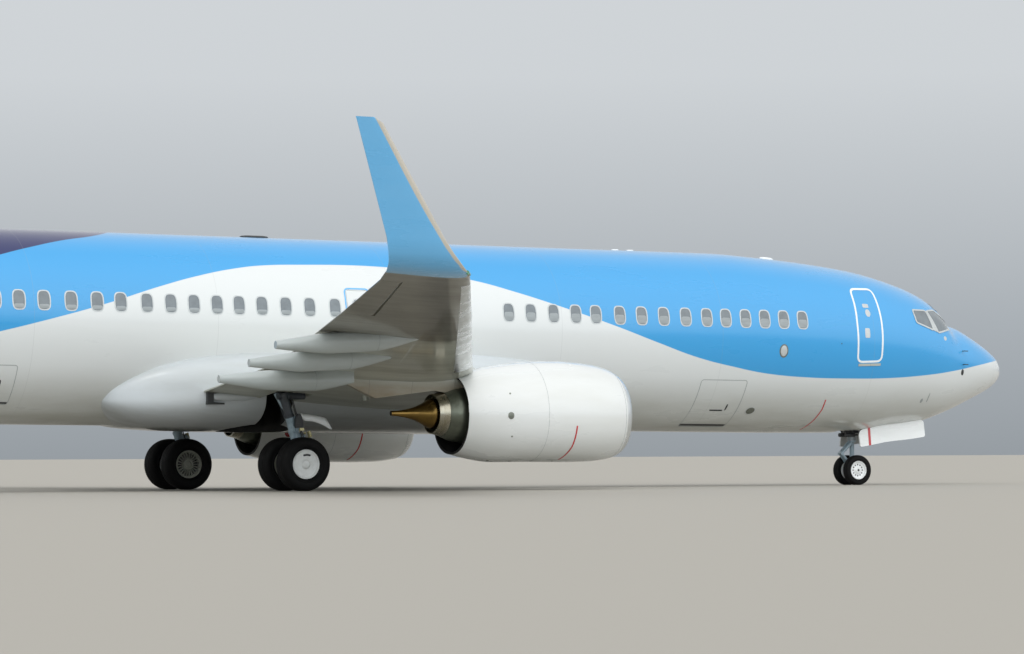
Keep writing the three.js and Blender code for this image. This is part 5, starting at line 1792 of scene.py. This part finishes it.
@dataclass
class MainGear:
    """One main leg with its door, wheels and twin tyres.

    The leg's own places are forward of the axle, out to its outboard side and up from the ground.
    """

    side: Side
    tyre: Tyre = field(default_factory=lambda: Tyre(0.553, 0.42, 0.3))
    wheel: Wheel = field(default_factory=lambda: Wheel(0.3, 0.151, 0.05))
    wheel_out: float = 0.43
    axle_up: float = 0.5462
    rake: float = 0.305
    foot: float = 0.2
    top: float = 2.04
    door_out: float = 0.185
    door: tuple[Point, ...] = (
        (0.075, 1.56, 1.59), (0.1, 1.5, 1.588), (0.16, 1.434, 1.58), (0.31, 1.425, 1.562),
        (0.45, 1.39, 1.543), (0.55, 1.354, 1.522), (0.66, 1.3, 1.49), (0.72, 1.267, 1.39),
        (0.76, 1.258, 1.29),
    )
    rib: Pairs = (
        (-0.045, 1.289), (-0.046, 1.43), (-0.02, 1.53), (0.015, 1.58), (0.045, 1.585), (0.085, 1.55),
        (0.112, 1.47), (0.13, 1.38), (0.134, 1.289),
    )

    def on_leg(self, up: float) -> Vector:
        """Gives a point of the leg's middle line."""
        return Vector((self.foot - self.rake * (up - self.axle_up), 0, up))

    def place(self, forward: float, out: float, up: float) -> Vector:
        """Gives a place, counted outboard."""
        return Vector((forward, self.side.value * out, up))

    def bar(self, radii: list[float] | float, *places: Point, around: int = 14) -> Shape:
        """Makes a rod through places that are counted outboard."""
        return rod([self.place(*place) for place in places], radii, around)

    def tube(self, *rows: Pair) -> Shape:
        """Makes a round length of the leg from pairs of height and radius."""
        ups, radii = zip(*rows)
        return rod([self.on_leg(up) for up in ups], list(radii), 28)

    def leg(self, stand: Matrix) -> None:
        """Builds the struts, links and pipes."""
        label = self.side.label
        # The upper strut is painted dark as its shade in the well; the piston below keeps the lit blue-grey.
        upper = [
            self.tube((1.5, 0.092), (1.51, 0.105), (1.55, 0.105), (1.56, 0.09), (2.0, 0.098)),
            self.bar([0.075, 0.07], (-0.36, 0, 1.94), (0.24, 0, 1.94), around=20),
            self.bar(0.035, (-0.08, 0, 1.27), (-0.075, -0.7, self.top)),
        ]
        strut = add_piece(f"main_leg_{label}_strut", upper, SHADED_STRUT_GREY, matrix=stand)
        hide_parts(f"main_leg_{label}")
        boss = [(-0.19, 0.1), (-0.17, 0.12), (0.17, 0.12), (0.19, 0.1), (0.19, 0.056), (-0.19, 0.056)]
        lower = [
            self.tube((1.2, 0.11), (1.25, 0.11), (1.26, 0.096), (1.5, 0.09)),
            self.tube((0.68, 0.085), (1.0, 0.085), (1.02, 0.1), (1.22, 0.1)),
            turned(boss, self.place(0, 0, self.axle_up), Y_AXIS, 40, closed=True),
            self.bar(0.07, (0.12, 0, 0.7), (0.07, 0, 0.64), around=20),
            self.bar(0.035, (-0.14, 0, 1.5), (0.1, 0.06, 1.5)),
            self.bar(0.042, (0.1, 0.03, 1.5), (0.1, 0.17, 1.5)),
            self.bar([0.09, 0.075, 0.05], (0.02, 0, 1.12), (0.2, 0, 1.12), (0.23, 0, 1.1)),
        ]
        add_piece(f"main_leg_{label}_piston", lower, STEEL_BLUE, matrix=stand)
        knee = self.place(0.42, 0, 0.86)
        links = [rod([knee + Vector((0, out, 0)) for out in (-0.06, 0.06)], 0.03)]
        for out in (-0.07, 0.07):
            inset = knee + Vector((0, out * 0.4, 0))
            links.append(rod([self.place(0.2, out, 1.1), inset], [0.03, 0.022]))
            links.append(rod([inset, self.place(0.15, out, 0.72)], [0.022, 0.03]))
        add_piece(f"main_leg_{label}_torsion_links", links, STEEL_BLUE, matrix=stand)
        low, high = self.place(-0.03, 0.13, 1.245), self.place(-0.35, -0.13, 1.99)
        brace = [
            rod([low, low.lerp(high, 0.64)], 0.024),
            rod([low.lerp(high, 0.6), low.lerp(high, 0.63), high], [0.028, 0.034, 0.038]),
            self.bar([0.04, 0.03], (-0.03, 0.13, 1.245), (0.09, 0.13, 1.34)),
            self.bar(0.06, (-0.05, 0.0, 1.235), (0.0, 0.15, 1.235)),
        ]
        add_piece(f"main_leg_{label}_drag_brace", brace, STEEL_BLUE, matrix=stand)
        pipes = []
        for step, out in enumerate((-0.07, 0.07, 0.1)):
            away = 0.11 + 0.012 * step
            points = [self.on_leg(up) + Vector((away, out * self.side.value, 0)) for up in (1.95, 1.6, 1.3)]
            points += [self.place(away + 0.02, out * 1.4, 1.1), self.place(0.12, out * 1.6, 0.72)]
            pipes.append(rod(points, 0.011, 8))
        add_piece(f"main_leg_{label}_brake_pipes", pipes, DARK_FITTING, sharp=40, matrix=stand)
        valves = [
            self.bar(0.042, (0.27, 0.14, 1.225), (0.31, 0.14, 1.1), around=20),
            self.bar(0.026, (0.17, 0.14, 1.2), (0.2, 0.14, 1.17), around=18),
            slab(self.place(0.06, 0.1, 1.235), self.place(0.16, 0.16, 1.29)),
        ]
        add_piece(f"main_leg_{label}_brake_valves", valves, BRASS, sharp=40, matrix=stand)

    def leg_door(self, stand: Matrix) -> None:
        """Builds the curved door plate and the rib at its rear end."""
        label = self.side.label
        table, rings = SmoothTable(self.door), []
        for forward in spread(self.door[0][0], self.door[-1][0], 0.03):
            bottom, top = table.at(forward)
            ring = []
            for inset, order in ((0.0, 1), (0.028, -1)):
                edge = []
                for k in range(7):
                    share = k / 6
                    bow = 0.05 * (1 - (2 * share - 0.7) ** 2)
                    out = self.door_out - inset + bow
                    edge.append(self.place(forward, out, bottom + (top - bottom) * share))
                ring += edge[::order]
            rings.append(ring)
        # The plate takes the brighter outline white, painted light on a face that lies in the wing's shade.
        door = add_piece(f"main_leg_door_{label}_plate", [skin(rings)], OUTLINE_WHITE, matrix=stand)
        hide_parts(f"main_leg_door_{label}")
        plate = skin([[self.place(forward, out, up) for forward, up in self.rib] for out in (0.13, 0.19)])
        add_piece(f"main_leg_door_{label}_rib", [plate], DARK_FITTING, matrix=stand)

    def wheels(self, axle: Vector) -> None:
        """Builds the capped outboard wheel and the slotted inboard one, on their axle."""
        label, body, outward = self.side.label, f"main_wheels_{self.side.label}", self.side.value
        turn = Matrix.Translation(axle)
        capped = self.wheel.capped(outward * self.wheel_out, outward)
        shaft = rod([Vector((0, out, 0)) for out in (-0.45, 0.45)], self.wheel.axle, 24)
        hubs = add_piece(f"main_{label}_hub_caps", [capped, shaft], WHEEL_ENAMEL, body, 30, turn)
        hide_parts(f"main_{label}_hubs")
        open_wheel, webs = self.wheel.slotted(-outward * self.wheel_out, -outward)
        inner = add_piece(f"main_{label}_slotted_wheel", [open_wheel], HUB_GREY, body, 30, turn)
        # The floor between the webs takes the near-black painted shade of the slots.
        depth = self.wheel_out + 0.35 * self.wheel.half
        paint_part(
            inner, BAY_SHADE,
            lambda p: 0.44 * 0.3 < math.hypot(p.x, p.z) < 0.25 and self.wheel_out < abs(p.y) < depth,
        )
        add_piece(f"main_{label}_wheel_webs", [webs], HUB_GREY, body, 30, turn)
        # The cap's slots are flat dark discs, painted shade for the openings.
        face = outward * (self.wheel_out + 0.9 * self.wheel.half)
        places = [(face, -0.04 + 0.025 * k, 0.192 - 0.004 * abs(k - 2.5), 0.021) for k in range(6)]
        marks = self.wheel.discs(places)
        add_piece(f"main_{label}_cap_slot", [marks], DARK_FITTING, body, 30, turn)
        for sign in (-1, 1):
            start = Vector((0, sign * 0.2, 0))
            profile = [(0.0, 0.056), (0.0, 0.15), (0.01, 0.17), (0.065, 0.17), (0.07, 0.12), (0.07, 0.056)]
            drum = turned([(sign * away, radius) for away, radius in profile], start, Y_AXIS, 48, True)
            end = "outer" if sign == outward else "inner"
            add_piece(f"main_leg_{label}_brake_{end}", [drum], DARK_FITTING, sharp=30, matrix=turn)

    def build(self) -> None:
        """Builds the leg, its door, wheels and tyres."""
        label = self.side.label
        axle = joint_place(f"main_axle_{label}")
        self.leg(on_foot(axle))
        self.leg_door(on_foot(axle))
        self.wheels(axle)
        for place in ("outer", "inner"):
            low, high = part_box(f"main_{label}_tyre_{place}")
            middle = Vector((axle.x, (low.y + high.y) / 2, axle.z))
            self.tyre.build(f"main_{label}_tyre_{place}", middle, f"main_wheels_{label}")


@dataclass
class NoseGear:
    """The nose leg with its fork, wheels, twin tyres and doors."""

    tyre: Tyre = field(default_factory=lambda: Tyre(0.343, 0.197, 0.21))
    wheel: Wheel = field(default_factory=lambda: Wheel(0.21, 0.071, 0.035))
    wheel_out: float = 0.205
    axle_up: float = 0.3364
    collar: float = 1.02
    ceiling: float = 2.03
    door_from: float = 2.42
    door_to: float = 4.2
    door_out: float = 0.345
    door_deep: float = 0.345
    door_thick: float = 0.035
    stripe: Pair = (3.9, 3.965)

    def leg(self, stand: Matrix) -> None:
        """Builds the fixed leg with its drag brace and steering."""
        heights = [self.collar, self.collar + 0.1, self.collar + 0.11, 1.5, 1.51, 1.56, 1.57, self.ceiling]
        radii = [0.115, 0.115, 0.085, 0.085, 0.1, 0.1, 0.088, 0.092]
        shapes = [
            rod([Z_AXIS * up for up in heights], radii, 28),
            bar(0.05, (0, -0.3, self.ceiling - 0.12), (0, 0.3, self.ceiling - 0.12), around=20),
            bar(0.042, (0, 0, 1.25), (0.85, 0, self.ceiling - 0.02), around=18),
        ]
        leg = add_piece("nose_leg_strut", shapes, GEAR_ENAMEL, matrix=stand)
        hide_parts("nose_leg")
        steering = []
        for out in (-0.13, 0.13):
            steering += [
                bar(0.045, (-0.26, out, 1.14), (-0.02, out, 1.14), around=18),
                bar(0.02, (-0.02, out, 1.14), (0.12, out * 0.8, 1.14), around=12),
                bar(0.02, (-0.2, out * 0.7, 1.16), (-0.3, out * 0.7, 1.42), around=10),
            ]
        steering.append(slab((-0.1, -0.16, 1.18), (0.08, 0.16, 1.24)))
        add_piece("nose_leg_steering_cylinders", steering, DARK_FITTING, matrix=stand)
        profile = [(0.0, 0.03), (0.02, 0.07), (0.07, 0.085), (0.075, 0.08), (0.06, 0.0)]
        lamp = turned(profile, Vector((0.1, 0, 1.3)), X_AXIS, 32)
        add_piece("nose_leg_taxi_light", [lamp], POLISHED, matrix=stand)

    def fork(self, stand: Matrix) -> None:
        """Builds the steered piston with its axle and torque links."""
        heights = [self.axle_up + 0.055, 0.5, 0.52, 0.97, 0.98, self.collar - 0.005]
        boss = [(-0.1, 0.06), (-0.09, 0.07), (0.09, 0.07), (0.1, 0.06), (0.1, 0.041), (-0.1, 0.041)]
        piston = [
            rod([Z_AXIS * up for up in heights], [0.07, 0.07, 0.055, 0.055, 0.098, 0.098], 28),
            turned(boss, Z_AXIS * self.axle_up, Y_AXIS, 32, closed=True),
            bar(0.04, (0, 0, self.axle_up + 0.12), (0.12, 0, self.axle_up + 0.12), around=18),
        ]
        fork = add_piece("nose_fork_piston", piston, STEEL_BLUE, "steered_leg", 35, stand)
        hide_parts("nose_fork")
        knee = Vector((-0.31, 0, 0.72))
        links = [rod([knee + Vector((0, out, 0)) for out in (-0.075, 0.075)], 0.035, 16)]
        for out in (-0.045, 0.045):
            inset = Vector((0, out, 0))
            top = Vector((-0.06, out * 1.4, self.collar - 0.06))
            links.append(rod([top, knee + inset], [0.04, 0.028], 16))
            links.append(rod([knee + inset, Vector((-0.05, out * 1.2, 0.42))], [0.028, 0.04], 16))
        links.append(slab((-0.24, -0.03, 0.78), (-0.16, 0.03, 0.84)))
        add_piece("nose_torque_links", links, STEEL_BLUE, "steered_leg", 35, stand)

    def wheels(self, axle: Vector) -> None:
        """Builds both dished wheels with their ring of holes."""
        turn = Matrix.Translation(axle)
        shapes = [self.wheel.dished(sign * self.wheel_out, sign) for sign in (-1, 1)]
        shapes.append(rod([Vector((0, out, 0)) for out in (-0.26, 0.26)], self.wheel.axle, 24))
        hubs = add_piece("nose_wheel_discs", shapes, OUTLINE_WHITE, "nose_wheels", 30, turn)
        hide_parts("nose_hubs")
        # The holes are flat dark discs, painted shade where the wheel is pierced.
        holes = []
        for sign in (-1, 1):
            face = sign * (self.wheel_out + 0.35 * self.wheel.half)
            for angle in circle(12):
                holes.append((face, 0.126 * math.cos(angle), 0.126 * math.sin(angle), 0.016))
            holes.append((sign * (self.wheel_out + 0.86 * self.wheel.half), 0.0, 0.0, 0.026))
        add_piece("nose_wheel_holes", [self.wheel.discs(holes)], DARK_FITTING, "nose_wheels", 30, turn)

    def door_ring(self, aft: float, grow: float = 0.0) -> list[Vector]:
        """Gives the section of the left door at a station, with round corners at both ends."""
        keel = HULL.row(aft)[1]
        near = min(aft - self.door_from, self.door_to - aft)

        def rounding(radius: float) -> float:
            """Gives how much a round corner takes off here."""
            return radius - math.sqrt(max(0.0, radius**2 - (radius - near) ** 2)) if near < radius else 0.0

        low = keel - self.door_deep + rounding(0.04) - grow
        inner, outer = self.door_out - grow, self.door_out + self.door_thick + grow
        lean = 0.05
        tops = [HULL.over(aft, out, below=True).z - rounding(0.11) - 0.001 for out in (inner, outer)]
        corners = ((inner, tops[0]), (outer, tops[1]), (outer + lean, low), (inner + lean, low))
        return [level(aft, out, up) for out, up in corners]

    def doors(self) -> None:
        """Builds both doors with their warning stripes."""
        ends = [0.0, 0.003, 0.01, 0.02, 0.035, 0.055, 0.08, 0.11]
        places = [self.door_from + end for end in ends] + spread(2.7, 3.95, 0.15)
        places += [self.door_to - end for end in reversed(ends)]
        for side in Side:
            mirror = Matrix.Diagonal((1, side.value, 1))
            rings = [[mirror @ point for point in self.door_ring(aft)] for aft in places]
            door = add_piece(f"nose_door_{side.label}_plate", [skin(rings)], OUTLINE_WHITE)
            # The inner faces take the duller fairing white, painted shade for the side that faces away from
            # the light.
            paint_part(door, FAIRING_WHITE, lambda p: abs(p.y) < self.door_out + 0.03)
            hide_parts(f"nose_door_{side.label}")
            stripe = [[mirror @ point for point in self.door_ring(aft, 0.002)] for aft in self.stripe]
            add_piece(f"nose_door_{side.label}_stripe", [skin(stripe)], OUTLINE_RED)

    def build(self) -> None:
        """Builds the leg, doors, wheels and tyres."""
        axle = joint_place("nose_axle")
        self.leg(on_foot(axle))
        self.fork(on_foot(axle))
        self.wheels(axle)
        self.doors()
        for side in Side:
            node = f"nose_tyre_{side.label}"
            low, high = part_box(node)
            self.tyre.build(node, Vector((axle.x, (low.y + high.y) / 2, axle.z)), "nose_wheels")


@dataclass
class Studio:
    """The camera, floor and light.

    Attributes:
        eye: The camera's place in the row frame.
        yaw: Its heading, from +y towards +x.
        pitch: Its tilt upwards.
        roll: Its turn about its own line of sight.
        focal_px: Its focal length in pixels of the photograph's width.
        width_px: That width.
    """

    eye: Point = (-37.6034, -80.1455, 0.7241)
    yaw: float = 28.9696
    pitch: float = 1.7434
    roll: float = -0.2477
    focal_px: float = 4193.06
    width_px: int = 1024
    sensor_mm: float = 36.0
    floor_colour: str = "#A6A299"
    sky: tuple[tuple[float, str], ...] = (
        (0.0, "#A5ACB2"), (0.03, "#B9C0C6"), (0.09, "#E1E6EA"), (0.3, "#F4F7F9"), (0.8, "#FFFFFF"),
    )
    shaded_side: float = 0.82
    bright_side: float = 2.1
    sun_strength: float = 0.35
    sun_degrees: float = 20.0
    sun_towards: Point = (0.35, 0.75, -1.0)

    def camera(self) -> None:
        """Makes the camera."""
        data = bpy.data.cameras.new("camera")
        data.sensor_width = self.sensor_mm
        data.sensor_fit = "HORIZONTAL"
        data.lens = self.focal_px / self.width_px * self.sensor_mm
        data.clip_end = 2000
        yaw, pitch, roll = (math.radians(v) for v in (self.yaw, self.pitch, self.roll))
        ahead = Vector((math.sin(yaw) * math.cos(pitch), math.cos(yaw) * math.cos(pitch), math.sin(pitch)))
        right = Vector((math.cos(yaw), -math.sin(yaw), 0))
        up = right.cross(ahead)
        rolled_right = right * math.cos(roll) + up * math.sin(roll)
        rolled_up = up * math.cos(roll) - right * math.sin(roll)
        turn = Matrix((rolled_right, rolled_up, -ahead)).transposed().to_4x4()
        camera = linked("camera", data)
        camera.matrix_world = Matrix.Translation(self.eye) @ turn
        bpy.context.scene.camera = camera

    def floor(self) -> None:
        """Lays the floor."""
        mesh = bpy.data.meshes.new("floor")
        reach = 900.0
        corners = [(-reach, -reach, 0), (reach, -reach, 0), (reach, reach, 0), (-reach, reach, 0)]
        mesh.from_pydata(corners, [], [(0, 1, 2, 3)])
        floor = linked("floor", mesh)
        material = bpy.data.materials.new("pale_apron_concrete")
        material.use_nodes = True
        skin_node = material.node_tree.nodes["Principled BSDF"]
        skin_node.inputs["Base Color"].default_value = linear(self.floor_colour)
        skin_node.inputs["Roughness"].default_value = 0.75
        mesh.materials.append(material)

    def light(self) -> None:
        """Lights the scene with a soft sky, brighter to starboard, and a wide sun."""
        world = bpy.data.worlds.new("sky")
        world.use_nodes = True
        bpy.context.scene.world = world
        tree = world.node_tree
        tree.nodes.clear()
        where = add_node(tree, "TexCoord").outputs["Generated"]
        _, out, up = add_node(tree, "SeparateXYZ", (where,)).outputs
        ramp = add_node(tree, "ValToRGB", (up,))
        while len(ramp.color_ramp.elements) < len(self.sky):
            ramp.color_ramp.elements.new(0.5)
        for knot, (height, colour) in zip(ramp.color_ramp.elements, self.sky):
            knot.position, knot.color = height, linear(colour)
        power = add_node(tree, "MapRange", (out, 0.1, -0.95, self.shaded_side, self.bright_side))
        glow = add_node(tree, "Background", {"Color": ramp, "Strength": power})
        add_node(tree, "OutputWorld", {"Surface": glow})
        sun = bpy.data.lights.new("sun", "SUN")
        sun.energy = self.sun_strength
        sun.angle = math.radians(self.sun_degrees)
        linked("sun", sun).rotation_euler = Vector(self.sun_towards).to_track_quat("-Z", "Y").to_euler()


def main() -> None:
    """Builds the camera, the aircraft and the studio."""
    logging.basicConfig(level=logging.INFO, format="%(name)s: %(message)s")
    bpy.context.scene.view_settings.view_transform = "Standard"
    studio = Studio()
    studio.camera()
    fuselage = FuselageSkin()
    fuselage.build()
    for hatch in EXITS:
        for side in Side:
            hatch.build(side)
    CabinWindows().build()
    DoorLines().build()
    CrownAntennas().build()
    FlightDeckPanes().build()
    fairing = BellyFairing()
    fairing.build(fuselage.wells(fairing.slot_rear))
    Wings().build()
    Tail().build()
    for side in Side:
        Engine(side).build()
        MainGear(side).build()
    NoseGear().build()
    studio.floor()
    studio.light()


if __name__ == "__main__":
    main()
